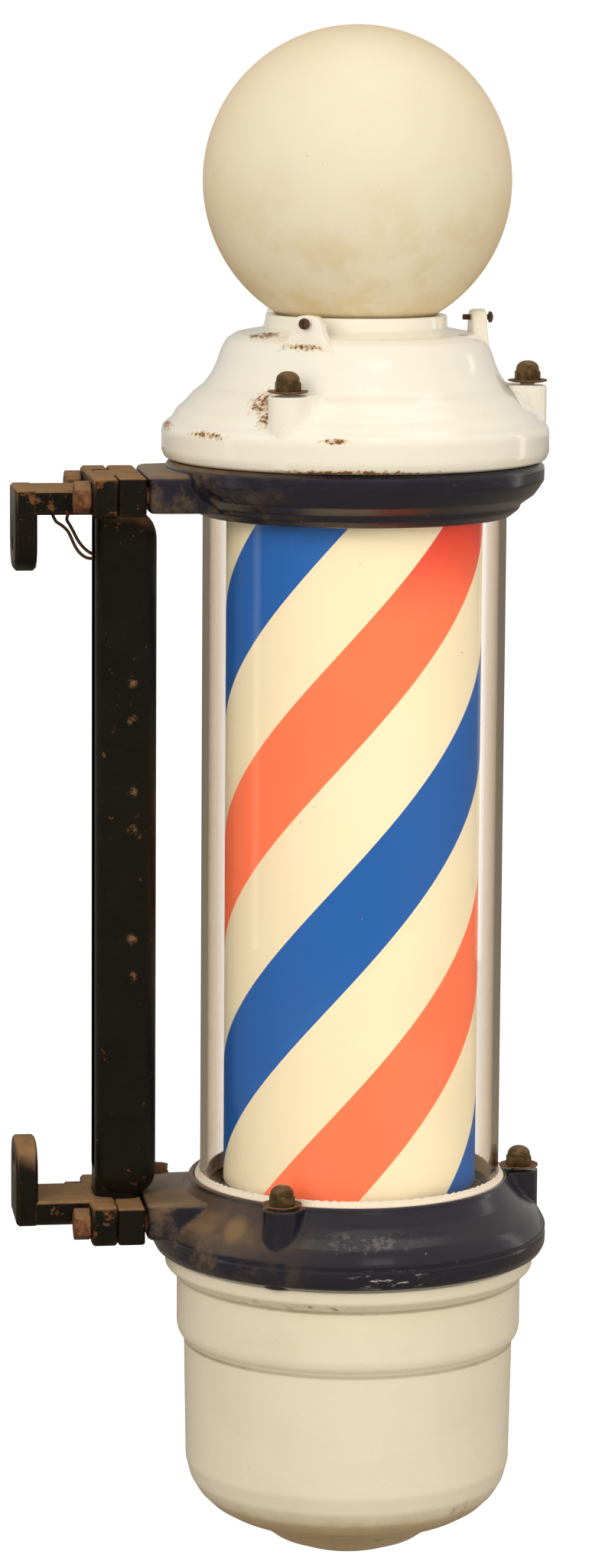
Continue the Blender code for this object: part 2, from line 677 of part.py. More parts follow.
def bracket_mesh():
    """Wall bracket: a round-ended wall flange, a short bar and the plate that the bolts clamp."""
    flange_x = (FLANGE_BACK, FLANGE_BACK + FLANGE_THICK)
    low, high = UPPER_EAR[0] - 0.001, UPPER_EAR[1]
    side = BRACKET_HALF_WIDTH - FLANGE_CORNER
    corner_height = FLANGE_BOTTOM + FLANGE_CORNER
    flange_outline = (
        [(BRACKET_HALF_WIDTH, BRACKET_BAR_TOP), (-BRACKET_HALF_WIDTH, BRACKET_BAR_TOP)]
        + arc((-side, corner_height), FLANGE_CORNER, 180, 270, 4)
        + arc((side, corner_height), FLANGE_CORNER, 270, 360, 4)
    )
    flange = softened(radial_prism(flange_outline, *flange_x), CASTING_EDGE)
    step = 0.0004
    bar_x = (flange_x[0] + 0.005, PLATE_X[0] + 0.006)
    bar_y = (-BRACKET_HALF_WIDTH + step, BRACKET_HALF_WIDTH - step)
    bar = block(bar_x, bar_y, (low + step, BRACKET_BAR_TOP - step), CASTING_EDGE)
    plate = block(PLATE_X, (-ARM_HALF_WIDTH, ARM_HALF_WIDTH), (low, high), CASTING_EDGE)
    core_low = (SPINE_X[0] - FIT, -CORE_HALF_WIDTH - FIT)
    core_high = (-0.150, CORE_HALF_WIDTH + FIT)
    recess = prism(rounded_rectangle(core_low, core_high, CORE_CORNER + FIT), low - 0.01, high + 0.01)
    lag_hole = moved(along_x(rod(LAG_HOLE_RADIUS, -0.24, -0.20, 16)), (0, 0, LAG_HOLE_HEIGHT))
    holes = bolt_holes(BOLT_HEIGHTS["upper"], -0.20, -0.15)
    return carved(plate, joined=[bar, flange], cut=[recess, lag_hole, *holes])


def bracket_bolt_mesh():
    """Hexagon-head bolt on X with its head against the bracket's plate."""
    seat = PLATE_X[0] - FIT
    corner = BOLT_ACROSS_FLATS / math.sqrt(3)
    head = softened(prism(polygon(corner, 6), -BOLT_HEAD_HEIGHT, 0), 0.0007)
    shank = rod(BOLT_RADIUS, -0.002, BOLT_LENGTH, 12)
    return moved(along_x(carved(head, joined=[shank])), (seat, 0, 0))


# ---- Bowl, motor and gears ----
def bowl_mesh():
    """Spun enamelled bowl: rim with three tapped holes, a step under it and a cone with a round nose."""
    outline = (
        [(0.1085, BOWL_TOP), (0.1245, BOWL_TOP), (0.1245, -0.7220)]
        + arc((0.1173, -0.7265), 0.0066, 10, -80, 2)
        + BOWL_STEP
        + arc((0.0862, -0.8700), 0.025, 0, -72, 4)
        + BOWL_NOSE
        + BOWL_INSIDE
    )
    stud_hole = rod(STUD_HOLE_RADIUS, RING_STUD_BOTTOM - 0.0005, -0.71, HOLE_STEPS)
    return carved(revolved(outline), cut=around(moved(stud_hole, (LOWER_BOSS_CIRCLE, 0, 0))))


def motor_plate_mesh():
    """Round steel plate screwed under the ring's ledge, bored for the spindle's bush."""
    return tube(PLATE_RADIUS, BUSH_RADIUS + FIT, PLATE_BOTTOM, LEDGE_BOTTOM - FIT)


def spindle_bush_mesh():
    """Flanged brass bush that the spindle turns in."""
    bore = SPINDLE_RADIUS + 0.0001
    low, high = PLATE_BOTTOM - 0.007, LEDGE_BOTTOM + 0.003
    return revolved(
        [
            (bore, low),
            (BUSH_RADIUS, low),
            (BUSH_RADIUS, LEDGE_BOTTOM),
            (BUSH_FLANGE_RADIUS, LEDGE_BOTTOM),
            (BUSH_FLANGE_RADIUS, high),
            (bore, high),
        ],
        20,
    )


def gearbox_mesh():
    """Reduction gearbox with three posts up to the motor plate and a hole for its output shaft."""
    case = block(*GEARBOX, 0.004)
    post = rod(POST_RADIUS, GEARBOX[2][1] - 0.004, PLATE_BOTTOM - FIT, 12)
    posts = [moved(post, (x, y, 0)) for x, y in POSTS]
    shaft_hole = moved(rod(PINION_SHAFT_RADIUS + FIT + 0.0001, -0.726, -0.70, 16), (*PINION_AT, 0))
    return carved(case, joined=posts, cut=[shaft_hole])


def motor_mesh():
    """Round induction motor under the gearbox, its iron core proud between two domed end bells."""
    top = GEARBOX[2][0] - FIT
    bell, core = 0.036, 0.0385
    return revolved(
        [
            (0, top),
            (0.030, top),
            (bell, top - 0.006),
            (bell, top - 0.016),
            (core, top - 0.0175),
            (core, top - 0.0385),
            (bell, top - 0.040),
            (bell, top - 0.050),
            (0.029, top - 0.058),
            (0, top - 0.060),
        ],
        20,
    )


def spindle_mesh():
    """Turned spindle: a journal for the bush and a shoulder that carries the cylinder's base."""
    return revolved(
        [
            (0, SPINDLE_BOTTOM),
            (SPINDLE_RADIUS, SPINDLE_BOTTOM),
            (SPINDLE_RADIUS, SPINDLE_SHOULDER[0]),
            (0.0085, SPINDLE_SHOULDER[0]),
            (0.0085, SPINDLE_SHOULDER[1]),
            (SPINDLE_RADIUS, SPINDLE_SHOULDER[1]),
            (SPINDLE_RADIUS, SPINDLE_TOP),
            (0, SPINDLE_TOP),
        ],
        20,
    )


def spindle_gear_mesh():
    """Driven gear, clamped on the spindle's lower end by its hub."""
    return carved(
        prism(gear_outline(GEAR_TEETH), *GEAR_HEIGHTS),
        joined=[rod(0.010, GEAR_HEIGHTS[0] - 0.004, GEAR_HEIGHTS[0] + 0.001, 20)],
        cut=[rod(SPINDLE_RADIUS + FIT, -0.72, -0.69, 24)],
    )


def drive_pinion_mesh():
    """Motor pinion on its stub shaft. It is turned half a tooth so that it meshes with the gear at rest."""
    half_tooth = 180 / PINION_TEETH
    low, high = GEAR_HEIGHTS[0] - 0.001, GEAR_HEIGHTS[1] + 0.001
    teeth = prism(gear_outline(PINION_TEETH), low, high)
    shaft = rod(PINION_SHAFT_RADIUS, -0.7245, low + 0.0005, 16)
    return carved(moved(teeth, turn=half_tooth - 90), joined=[shaft])


def base_disc_mesh():
    """Pressed disc and hub that carry the striped cylinder on the spindle."""
    rim = RIM_RADIUS
    hub = 0.013
    bore = SPINDLE_RADIUS + FIT
    return revolved(
        [
            (bore, STRIPE_BOTTOM),
            (rim, STRIPE_BOTTOM),
            (rim, STRIPE_BOTTOM + 0.006),
            (rim - 0.003, STRIPE_BOTTOM + 0.002),
            (hub, STRIPE_BOTTOM + 0.002),
            (hub, STRIPE_BOTTOM + 0.016),
            (bore, STRIPE_BOTTOM + 0.016),
        ],
        ROUND_STEPS,
    )


def spider_mesh():
    """Three-spoked top guide: its ring runs round the lamp pipe and its rim centres the cylinder."""
    heights = (STRIPE_TOP - 0.005, STRIPE_TOP - 0.002)
    spoke = block((0.010, RIM_RADIUS - 0.001), (-0.004, 0.004), (heights[0] + 0.0004, heights[1] - 0.0004))
    rim_ring = tube(RIM_RADIUS, RIM_RADIUS - 0.003, *heights)
    hub = tube(0.012, LAMP_PIPE_RADIUS + 0.0008, *heights, 20)
    return carved(rim_ring, joined=around(spoke) + [hub])


# ---- Lamps ----
def bridge_mesh():
    """Steel strip across the cap that carries the lamp pipe."""
    half_width, half_length = BRIDGE_HALF
    strip = block((-half_width, half_width), (-half_length, half_length), BRIDGE_HEIGHTS)
    return carved(strip, cut=[rod(LAMP_PIPE_RADIUS + FIT, -0.15, -0.13, 16)])


def socket_mesh(mouth, base):
    """Porcelain lamp socket between its base and its mouth, on the lamp pipe's end."""
    away = math.copysign(1, mouth - base)
    outline = [
        (0, base),
        (0.012, base),
        (0.014, base + away * 0.010),
        (SOCKET_RADIUS, base + away * 0.020),
        (SOCKET_RADIUS, mouth),
        (SOCKET_BORE, mouth),
        (SOCKET_BORE, mouth - away * 0.018),
        (0, mouth - away * 0.018),
    ]
    return revolved(outline, 16)


def bulb_mesh(outline, mouth, away):
    """Glass envelope with its brass screw cap down in the socket's mouth."""
    foot = mouth - away * 0.0165
    cap = [(0, foot), (0.0085, foot), (BULB_CAP_RADIUS, mouth - away * 0.013)]
    return revolved(cap + [(BULB_CAP_RADIUS, mouth + away * 0.008)] + outline, 16)


def add_lamps(pole):
    """Lamp pipe, its two sockets and bulbs: one up in the globe, one down in the striped cylinder."""
    pipe = rod(LAMP_PIPE_RADIUS, CYLINDER_SOCKET[1] + FIT, GLOBE_SOCKET[1] - FIT, 16)
    pear = smooth(PEAR_BULB) + [PEAR_TIP]
    place("lamp_pipe", pipe, "machined_brass", pole)
    place("lamp_bridge", bridge_mesh(), "zinc_steel", pole)
    place("globe_socket", socket_mesh(*GLOBE_SOCKET), "porcelain", pole)
    place("cylinder_socket", socket_mesh(*CYLINDER_SOCKET), "porcelain", pole)
    place("globe_bulb", bulb_mesh(pear, GLOBE_SOCKET[0], 1), "opal_glass", pole)
    place("cylinder_bulb", bulb_mesh(TUBULAR_BULB, CYLINDER_SOCKET[0], -1), "opal_glass", pole)


# ---- Supply wiring ----
def wire(name, route, parent):
    """One bare-ended wire as a round curve along its route."""
    points = smooth(route, 2)
    curve = bpy.data.curves.new(name, "CURVE")
    curve.dimensions = "3D"
    curve.bevel_depth = WIRE_RADIUS
    curve.bevel_resolution = 2
    curve.use_fill_caps = True
    spline = curve.splines.new("POLY")
    spline.points.add(len(points) - 1)
    for point, position in zip(spline.points, points):
        point.co = (*position, 1)
    curve.materials.append(new_material(name, "cloth_wire"))
    piece = bpy.data.objects.new(name, curve)
    bpy.context.collection.objects.link(piece)
    piece.parent = parent


def cable_stub_mesh():
    """Cut end of the motor's cable where it leaves the column above the lower arm."""
    stub = revolved([(0, 0), (STUB_RADIUS, 0), (STUB_RADIUS, 0.006), (0.0036, 0.0095), (0, 0.011)], 12)
    return moved(along_x(stub), STUB_AT)


# ---- Assembly ----
def add_frame(pole):
    """Column, brackets and bolts."""
    place("spine_column", spine_mesh(), "black_paint", pole)
    for level in ("upper", "lower"):
        bracket = place(f"{level}_wall_bracket", bracket_mesh(), "black_paint", pole)
        if level == "lower":
            bracket.location = (0, 0, 2 * BRACKET_MID)
            bracket.rotation_euler = (math.pi, 0, 0)
        for side, offset in (("front", -BOLT_OFFSET), ("rear", BOLT_OFFSET)):
            at = (0, offset, BOLT_HEIGHTS[level])
            place(f"{level}_{side}_bracket_bolt", bracket_bolt_mesh(), "rusty_steel", pole, at)


def add_housing(pole):
    """The castings, glass and seals that stand still."""
    place("cap_casting", cap_mesh(), "cream_enamel", pole)
    place("upper_ring_casting", upper_ring_mesh(), "navy_enamel", pole)
    place("lower_ring_casting", lower_ring_mesh(), "navy_enamel", pole)
    place("bowl_housing", bowl_mesh(), "bowl_enamel", pole)
    glass = tube(GLASS_RADIUS, GLASS_RADIUS - GLASS_WALL, GLASS_BOTTOM, GLASS_TOP)
    place("glass_cylinder", glass, "clear_glass", pole)
    seal = tube(GLASS_RADIUS + FIT, GASKET_BORE, GLASS_TOP + FIT, CAP_BOTTOM - FIT)
    place("upper_gasket", seal, "putty", pole)
    rope = revolved(
        [
            (GLASS_RADIUS + FIT, LEDGE_TOP + 0.004),
            (ROPE_RADIUS, LEDGE_TOP + 0.004),
            (ROPE_RADIUS, LOWER_LIP_TOP),
            (0.1029, LOWER_LIP_TOP + 0.0010),
            (0.1024, LOWER_LIP_TOP + 0.0044),
            (GLASS_RADIUS + FIT, LOWER_LIP_TOP + 0.0038),
        ]
    )
    place("lower_gasket", rope, "putty", pole)
    place("cable_stub", cable_stub_mesh(), "cloth_wire", pole)


def add_drive(pole):
    """Motor, gearbox and the pinion that drives the spindle."""
    place("motor_plate", motor_plate_mesh(), "zinc_steel", pole)
    place("spindle_bush", spindle_bush_mesh(), "machined_brass", pole)
    place("gearbox", gearbox_mesh(), "motor_grey", pole)
    place("motor", motor_mesh(), "motor_grey", pole)
    place("drive_pinion", drive_pinion_mesh(), "machined_brass", pole, (*PINION_AT, 0))


def add_rotor(pole):
    """Everything that turns with the stripes."""
    stripes = tube(STRIPE_RADIUS, STRIPE_RADIUS - STRIPE_WALL, STRIPE_BOTTOM, STRIPE_TOP)
    place("striped_cylinder", stripes, "printed_stripes", pole)
    place("cylinder_base_disc", base_disc_mesh(), "zinc_steel", pole)
    place("cylinder_top_spider", spider_mesh(), "zinc_steel", pole)
    place("spindle", spindle_mesh(), "zinc_steel", pole)
    place("spindle_gear", spindle_gear_mesh(), "machined_brass", pole, turn=90)


def build():
    """Make the whole pole."""
    clear_scene()
    pole = pole_empty()
    add_frame(pole)
    add_housing(pole)
    add_fastenings(pole, "cap", CAP_BOSS_CIRCLE, CAP_BOSS_TOP, CAP_STUD_BOTTOM)
    add_fastenings(pole, "ring", LOWER_BOSS_CIRCLE, LOWER_BOSS_TOP, RING_STUD_BOTTOM)
    place("glass_globe", globe_mesh(), "opal_glass", pole)
    for number, angle in enumerate(BOSS_ANGLES, 1):
        place(f"globe_screw_{number}", globe_screw_mesh(), "rusty_steel", pole, (0, 0, SCREW_HEIGHT), angle)
    add_lamps(pole)
    add_drive(pole)
    add_rotor(pole)
    for name, route in WIRE_ROUTES.items():
        wire(name, route, pole)


build()
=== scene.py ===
"""Barber pole light: opal globe, enamelled castings and turning stripes, built round the fixed frame."""
import math

import bmesh
import bpy
import numpy as np
from mathutils import Matrix, Vector


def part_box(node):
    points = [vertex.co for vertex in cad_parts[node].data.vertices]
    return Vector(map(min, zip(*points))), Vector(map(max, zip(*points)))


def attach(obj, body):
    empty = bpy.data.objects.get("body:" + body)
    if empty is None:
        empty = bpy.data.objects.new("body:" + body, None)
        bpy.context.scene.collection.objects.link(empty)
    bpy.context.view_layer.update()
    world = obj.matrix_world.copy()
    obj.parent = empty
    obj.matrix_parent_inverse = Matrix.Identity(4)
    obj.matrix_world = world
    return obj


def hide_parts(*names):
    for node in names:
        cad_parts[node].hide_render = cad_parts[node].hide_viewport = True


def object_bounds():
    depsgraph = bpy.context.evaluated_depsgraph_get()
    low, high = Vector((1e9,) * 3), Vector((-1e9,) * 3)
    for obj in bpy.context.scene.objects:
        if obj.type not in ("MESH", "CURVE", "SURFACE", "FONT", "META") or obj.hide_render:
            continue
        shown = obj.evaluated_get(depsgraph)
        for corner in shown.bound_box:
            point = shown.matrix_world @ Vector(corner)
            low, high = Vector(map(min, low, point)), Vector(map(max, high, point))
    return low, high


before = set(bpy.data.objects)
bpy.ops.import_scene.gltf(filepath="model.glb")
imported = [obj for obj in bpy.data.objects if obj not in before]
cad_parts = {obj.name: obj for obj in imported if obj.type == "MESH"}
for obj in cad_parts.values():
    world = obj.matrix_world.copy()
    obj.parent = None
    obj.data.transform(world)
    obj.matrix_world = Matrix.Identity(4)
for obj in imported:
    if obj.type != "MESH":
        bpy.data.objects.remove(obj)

cad_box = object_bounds()

# ---- The pole's own axis ----
# Every turned piece shares one vertical line, and heights are counted from the globe's centre.
# The glass tube gives the line, and the top of the globe gives the height.
GLOBE_RADIUS = 0.1016
tube_low, tube_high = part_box("glass_cylinder")
AXIS_X = (tube_low[0] + tube_high[0]) / 2
GLOBE_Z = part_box("glass_globe")[1][2] - GLOBE_RADIUS

# ---- Camera and studio ----
# A long lens stands 3.3 metres off, 8 degrees to the wall side of square-on and level with the top
# of the globe, looking a little down. Two big softboxes light the front, a third the top, and narrow
# strips give the glass and enamel their highlights.
CAMERA_TURN = math.radians(-7.9)
CAMERA_DISTANCE = 3.301
CAMERA_RISE = 0.102
CAMERA_PITCH = math.radians(8.6594)
CAMERA_YAW = math.radians(0.595)
CAMERA_ROLL = math.radians(0.398)

camera_data = bpy.data.cameras.new("camera")
camera_data.lens = 114.72
camera_data.sensor_width = 36.0
camera_data.clip_end = 50.0
camera = bpy.data.objects.new("camera", camera_data)
bpy.context.scene.collection.objects.link(camera)
camera.matrix_world = (
    Matrix.Translation(
        (
            AXIS_X + CAMERA_DISTANCE * math.sin(CAMERA_TURN),
            -CAMERA_DISTANCE * math.cos(CAMERA_TURN),
            GLOBE_Z + CAMERA_RISE,
        )
    )
    @ Matrix.Rotation(CAMERA_TURN + CAMERA_YAW, 4, "Z")
    @ Matrix.Rotation(math.pi / 2 - CAMERA_PITCH, 4, "X")
    @ Matrix.Rotation(CAMERA_ROLL, 4, "Z")
)
bpy.context.scene.camera = camera
bpy.context.scene.view_settings.view_transform = "Standard"


def softbox(name, place, size, power, mirrored=True):
    """An area light turned to face the middle of the pole. One that isn't mirrored gives no highlights,
    on the enamel or inside the glass.
    """
    data = bpy.data.lights.new(name, "AREA")
    data.shape = "RECTANGLE"
    data.size, data.size_y = size
    data.energy = power
    data.color = (1.0, 0.955, 0.885)
    light = bpy.data.objects.new(name, data)
    bpy.context.scene.collection.objects.link(light)
    light.location = place
    target = Vector((AXIS_X, 0, GLOBE_Z - 0.45))
    light.rotation_euler = (target - Vector(place)).to_track_quat("-Z", "Y").to_euler()
    light.visible_glossy = mirrored
    data.cycles.use_multiple_importance_sampling = mirrored


softbox("key_softbox", (-1.7, -2.6, 1.0), (2.4, 2.4), 58, mirrored=False)
softbox("fill_softbox", (2.4, -2.2, 0.2), (2.2, 2.4), 35, mirrored=False)
softbox("top_softbox", (0.4, 0.2, 2.6), (2.4, 2.4), 14)
softbox("left_strip", (-2.9, -0.2, 0.2), (0.35, 2.2), 1.6)
softbox("right_strip", (3.1, 0.9, 0.2), (0.35, 2.2), 3)
softbox("front_strip", (0.9, -3.1, 2.0), (1.1, 0.5), 2.2)

world = bpy.data.worlds.new("studio_white")
bpy.context.scene.world = world
world.use_nodes = True
backdrop = world.node_tree.nodes["Background"]
backdrop.inputs["Color"].default_value = (1.0, 0.965, 0.895, 1.0)


def seen_or_through_glass(tree):
    """1 for a ray straight from the camera or through glass, and 0 once it has been reflected."""
    path = tree.nodes.new("ShaderNodeLightPath").outputs
    reflected, refracted, either = (tree.nodes.new("ShaderNodeMath") for step in range(3))
    reflected.operation, refracted.operation, either.operation = "ADD", "SUBTRACT", "MAXIMUM"
    refracted.use_clamp = True
    tree.links.new(path["Diffuse Depth"], reflected.inputs[0])
    tree.links.new(path["Glossy Depth"], reflected.inputs[1])
    tree.links.new(path["Is Transmission Ray"], refracted.inputs[0])
    tree.links.new(reflected.outputs[0], refracted.inputs[1])
    tree.links.new(path["Is Camera Ray"], either.inputs[0])
    tree.links.new(refracted.outputs[0], either.inputs[1])
    return either.outputs[0]


brightness = world.node_tree.nodes.new("ShaderNodeMapRange")
brightness.inputs["To Min"].default_value = 0.52
brightness.inputs["To Max"].default_value = 1.15
world.node_tree.links.new(seen_or_through_glass(world.node_tree), brightness.inputs["Value"])
world.node_tree.links.new(brightness.outputs["Result"], backdrop.inputs["Strength"])

floor_mesh = bpy.data.meshes.new("studio_floor")
FLOOR_Z = cad_box[0][2] - 0.30
FLOOR_HALF = 12.0
floor_mesh.from_pydata(
    [(x * FLOOR_HALF, y * FLOOR_HALF, FLOOR_Z) for x, y in ((-1, -1), (1, -1), (1, 1), (-1, 1))],
    [],
    [(0, 1, 2, 3)],
)
studio_floor = bpy.data.objects.new("studio_floor", floor_mesh)
bpy.context.scene.collection.objects.link(studio_floor)
floor_paint = bpy.data.materials.new("pale_floor")
floor_paint.use_nodes = True
floor_shader = floor_paint.node_tree.nodes["Principled BSDF"]
floor_shader.inputs["Base Color"].default_value = (0.34, 0.30, 0.24, 1)
floor_shader.inputs["Roughness"].default_value = 0.9
floor_nodes = floor_paint.node_tree
glow_white = floor_nodes.nodes.new("ShaderNodeEmission")
glow_white.inputs["Strength"].default_value = 1.15
floor_mix = floor_nodes.nodes.new("ShaderNodeMixShader")
floor_nodes.links.new(seen_or_through_glass(floor_nodes), floor_mix.inputs[0])
floor_nodes.links.new(floor_shader.outputs[0], floor_mix.inputs[1])
floor_nodes.links.new(glow_white.outputs[0], floor_mix.inputs[2])
floor_nodes.links.new(floor_mix.outputs[0], floor_nodes.nodes["Material Output"].inputs["Surface"])
floor_mesh.materials.append(floor_paint)

# ---- Supply wires ----
# Two cotton-covered copper wires come out of the hole in the column's back and end bare under the
# upper bracket, where they were cut from the building's supply.
WIRE_DIAMETER = 0.0022
WIRE_ROUTES = {
    "supply_wire_1": [
        (-0.1739, 0.0018, -0.2452), (-0.1775, 0.0019, -0.2431), (-0.1812, 0.0021, -0.2395),
        (-0.1843, 0.0022, -0.2350), (-0.1868, 0.0020, -0.2300), (-0.1893, 0.0016, -0.2255),
        (-0.1912, 0.0008, -0.2222), (-0.1905, -0.0004, -0.2186),
    ],
    "supply_wire_2": [
        (-0.1739, -0.0020, -0.2478), (-0.1782, -0.0021, -0.2472), (-0.1822, -0.0019, -0.2446),
        (-0.1855, -0.0016, -0.2403), (-0.1879, -0.0013, -0.2352), (-0.1905, -0.0013, -0.2298),
        (-0.1945, -0.0016, -0.2258), (-0.1985, -0.0020, -0.2231), (-0.2008, -0.0020, -0.2184),
    ],
}


def curve_through(keys, steps):
    """Catmull-Rom curve. Between keys b and c, with a before and d after, the point is half of
    2b + (c - a)t + (2a - 5b + 4c - d)t^2 + (3b - a - 3c + d)t^3.
    """
    keys = np.asarray(keys, float)
    padded = np.vstack([keys[:1], keys, keys[-1:]])
    a, b, c, d = (padded[i : len(keys) - 1 + i, None, :] for i in range(4))
    t = (np.arange(steps) / steps)[None, :, None]
    points = 0.5 * (
        2 * b + (c - a) * t + (2 * a - 5 * b + 4 * c - d) * t**2 + (3 * b - a - 3 * c + d) * t**3
    )
    return np.vstack([points.reshape(-1, keys.shape[1]), keys[-1:]])


def add_node(tree, kind, inputs=None, **settings):
    """Add a node with its settings, and give each input a value or link it to another node's output."""
    node = tree.nodes.new(kind)
    for name, value in settings.items():
        setattr(node, name, value)
    for key, value in (inputs or {}).items():
        if isinstance(value, bpy.types.NodeSocket):
            tree.links.new(value, node.inputs[key])
        else:
            node.inputs[key].default_value = value
    return node


def calc(tree, operation, a, b=0.0, c=0.0, clamp=False):
    """One Math node, and the output that holds its result."""
    node = add_node(tree, "ShaderNodeMath", {0: a, 1: b, 2: c}, operation=operation, use_clamp=clamp)
    return node.outputs[0]


def times(tree, a, b):
    """The product of two values."""
    return calc(tree, "MULTIPLY", a, b)


def feed(shader, socket, value):
    """Link a value to one input of a shader."""
    shader.id_data.links.new(value, shader.inputs[socket])


def blend_colour(tree, share, first, second):
    """Mix two colours by a share from 0 to 1."""
    node = add_node(tree, "ShaderNodeMix", data_type="RGBA")
    for key, value in ((0, share), (6, first), (7, second)):
        if isinstance(value, bpy.types.NodeSocket):
            tree.links.new(value, node.inputs[key])
        else:
            node.inputs[key].default_value = (*value, 1.0) if key else value
    return node.outputs[2]


def noise(tree, vector, scale, detail=3.0, roughness=0.5):
    """The value of a noise texture at a scale in features a metre."""
    sockets = {"Vector": vector, "Scale": scale, "Detail": detail, "Roughness": roughness}
    return add_node(tree, "ShaderNodeTexNoise", sockets).outputs["Fac"]


def ramp(tree, value, low, high):
    """A smooth step: 0 below low, 1 above high."""
    sockets = {"Value": value, "From Min": low, "From Max": high}
    return add_node(
        tree, "ShaderNodeMapRange", sockets, interpolation_type="SMOOTHSTEP"
    ).outputs["Result"]


def new_finish(name, **values):
    """A material with its Principled shader, and the Object coordinates that its patterns read."""
    material = bpy.data.materials.new(name)
    material.use_nodes = True
    tree = material.node_tree
    shader = tree.nodes["Principled BSDF"]
    for socket, value in values.items():
        shader.inputs[socket.replace("_", " ")].default_value = value
    coordinates = tree.nodes.new("ShaderNodeTexCoord").outputs["Object"]
    return material, tree, shader, coordinates


def bump(tree, shader, height, strength, distance):
    """Feed a height to the shader's normal through one Bump node."""
    sockets = {"Height": height, "Strength": strength, "Distance": distance}
    feed(shader, "Normal", add_node(tree, "ShaderNodeBump", sockets).outputs["Normal"])


cotton, tree, shader, where = new_finish("brown_cotton_wire", Roughness=0.9)
weave = add_node(
    tree, "ShaderNodeTexWave", {"Vector": where, "Scale": 420.0, "Distortion": 3.0}
).outputs["Fac"]
feed(shader, "Base Color", blend_colour(tree, weave, (0.030, 0.016, 0.006), (0.150, 0.082, 0.030)))
bump(tree, shader, weave, 0.6, 0.0003)

for name, keys in WIRE_ROUTES.items():
    route = curve_through(keys, 2) + (AXIS_X, 0, GLOBE_Z)
    curve = bpy.data.curves.new(name + "_cotton", "CURVE")
    curve.dimensions = "3D"
    curve.bevel_depth = WIRE_DIAMETER / 2
    curve.bevel_resolution = 4
    curve.use_fill_caps = True
    spline = curve.splines.new("POLY")
    spline.points.add(len(route) - 1)
    spline.points.foreach_set("co", np.column_stack([route, np.ones(len(route))]).ravel())
    curve.materials.append(cotton)
    supply_wire = bpy.data.objects.new(name + "_cotton", curve)
    bpy.context.scene.collection.objects.link(supply_wire)
    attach(supply_wire, "root")
    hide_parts(name)

# ---- Glass globe ----
# An eight-inch ball of opal glass blown with a straight neck. It stands loose in the cap's collar,
# and years of weather have left it faintly mottled and yellower low down.
GLOBE_WALL = 0.003
NECK_RADIUS = 0.0495
NECK_BOTTOM = -0.1133


def grid_piece(name, points, material, body, node=None, rows_closed=False):
    """Skin a (rows, columns, 3) grid whose columns run once round, with the last column meeting the first.

    The rows either close on themselves, like a tyre, or end in points on the axis. Equal points are
    merged, and the faces are turned to point out.
    """
    rows, columns = points.shape[:2]
    index = np.arange(rows * columns).reshape(rows, columns)
    last = rows if rows_closed else rows - 1
    here = index[:last]
    below = np.roll(index, -1, axis=0)[:last]
    quads = np.stack([here, below, np.roll(below, -1, axis=1), np.roll(here, -1, axis=1)], axis=-1)
    mesh = bpy.data.meshes.new(name)
    mesh.from_pydata(points.reshape(-1, 3).tolist(), [], quads.reshape(-1, 4).tolist())
    work = bmesh.new()
    work.from_mesh(mesh)
    bmesh.ops.remove_doubles(work, verts=work.verts, dist=1e-6)
    bmesh.ops.recalc_face_normals(work, faces=work.faces)
    work.to_mesh(mesh)
    work.free()
    mesh.shade_smooth()
    return settle(name, mesh, material, body, node)


def settle(name, mesh, material, body, node=None):
    """Put a finished mesh in the scene on its body, in place of its frame node."""
    mesh.materials.clear()
    mesh.materials.append(material)
    piece = bpy.data.objects.new(name, mesh)
    bpy.context.scene.collection.objects.link(piece)
    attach(piece, body)
    if node:
        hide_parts(*([node] if isinstance(node, str) else node))
    return piece


def soft_path(keys, step, softness, closed=False):
    """Walk a polyline of (radius, height) keys at equal steps, then average each point over a window.

    The window is a raised cosine as wide as the softness, so every corner becomes a fillet about
    that size and straight runs stay straight. The ends of an open path stay where they are.
    """
    keys = np.asarray(keys, float)
    if closed:
        keys = np.vstack([keys, keys[:1]])
    lengths = np.linalg.norm(np.diff(keys, axis=0), axis=1)
    travel = np.concatenate([[0], np.cumsum(lengths)])
    count = max(8, int(round(travel[-1] / step)))
    stops = np.linspace(0, travel[-1], count + 1)
    path = np.column_stack([np.interp(stops, travel, keys[:, axis]) for axis in (0, 1)])
    half = max(1, int(round(softness / step / 2)))
    window = 1 + np.cos(np.linspace(-math.pi, math.pi, 2 * half + 3)[1:-1])
    window /= window.sum()
    if closed:
        path = path[:-1]
        around = np.vstack([path[-half:], path, path[:half]])
        return np.column_stack([np.convolve(around[:, axis], window, "valid") for axis in (0, 1)])
    before = 2 * path[0] - path[1 : half + 1][::-1]
    after = 2 * path[-1] - path[-half - 1 : -1][::-1]
    around = np.vstack([before, path, after])
    smooth = np.column_stack([np.convolve(around[:, axis], window, "valid") for axis in (0, 1)])
    smooth[0], smooth[-1] = path[0], path[-1]
    return smooth


def turned(path, columns, reach=None):
    """Spin a (radius, height) path once round the pole: x is r cos(a), y is r sin(a).

    reach may change the radius at each height and angle.
    """
    angle = np.linspace(0, math.tau, columns, endpoint=False)[None, :]
    radius = np.broadcast_to(path[:, :1], (len(path), columns))
    height = np.broadcast_to(path[:, 1:], (len(path), columns))
    if reach is not None:
        radius = reach(radius, height, angle)
    return np.stack(
        [AXIS_X + radius * np.cos(angle), radius * np.sin(angle), GLOBE_Z + height], axis=-1
    )


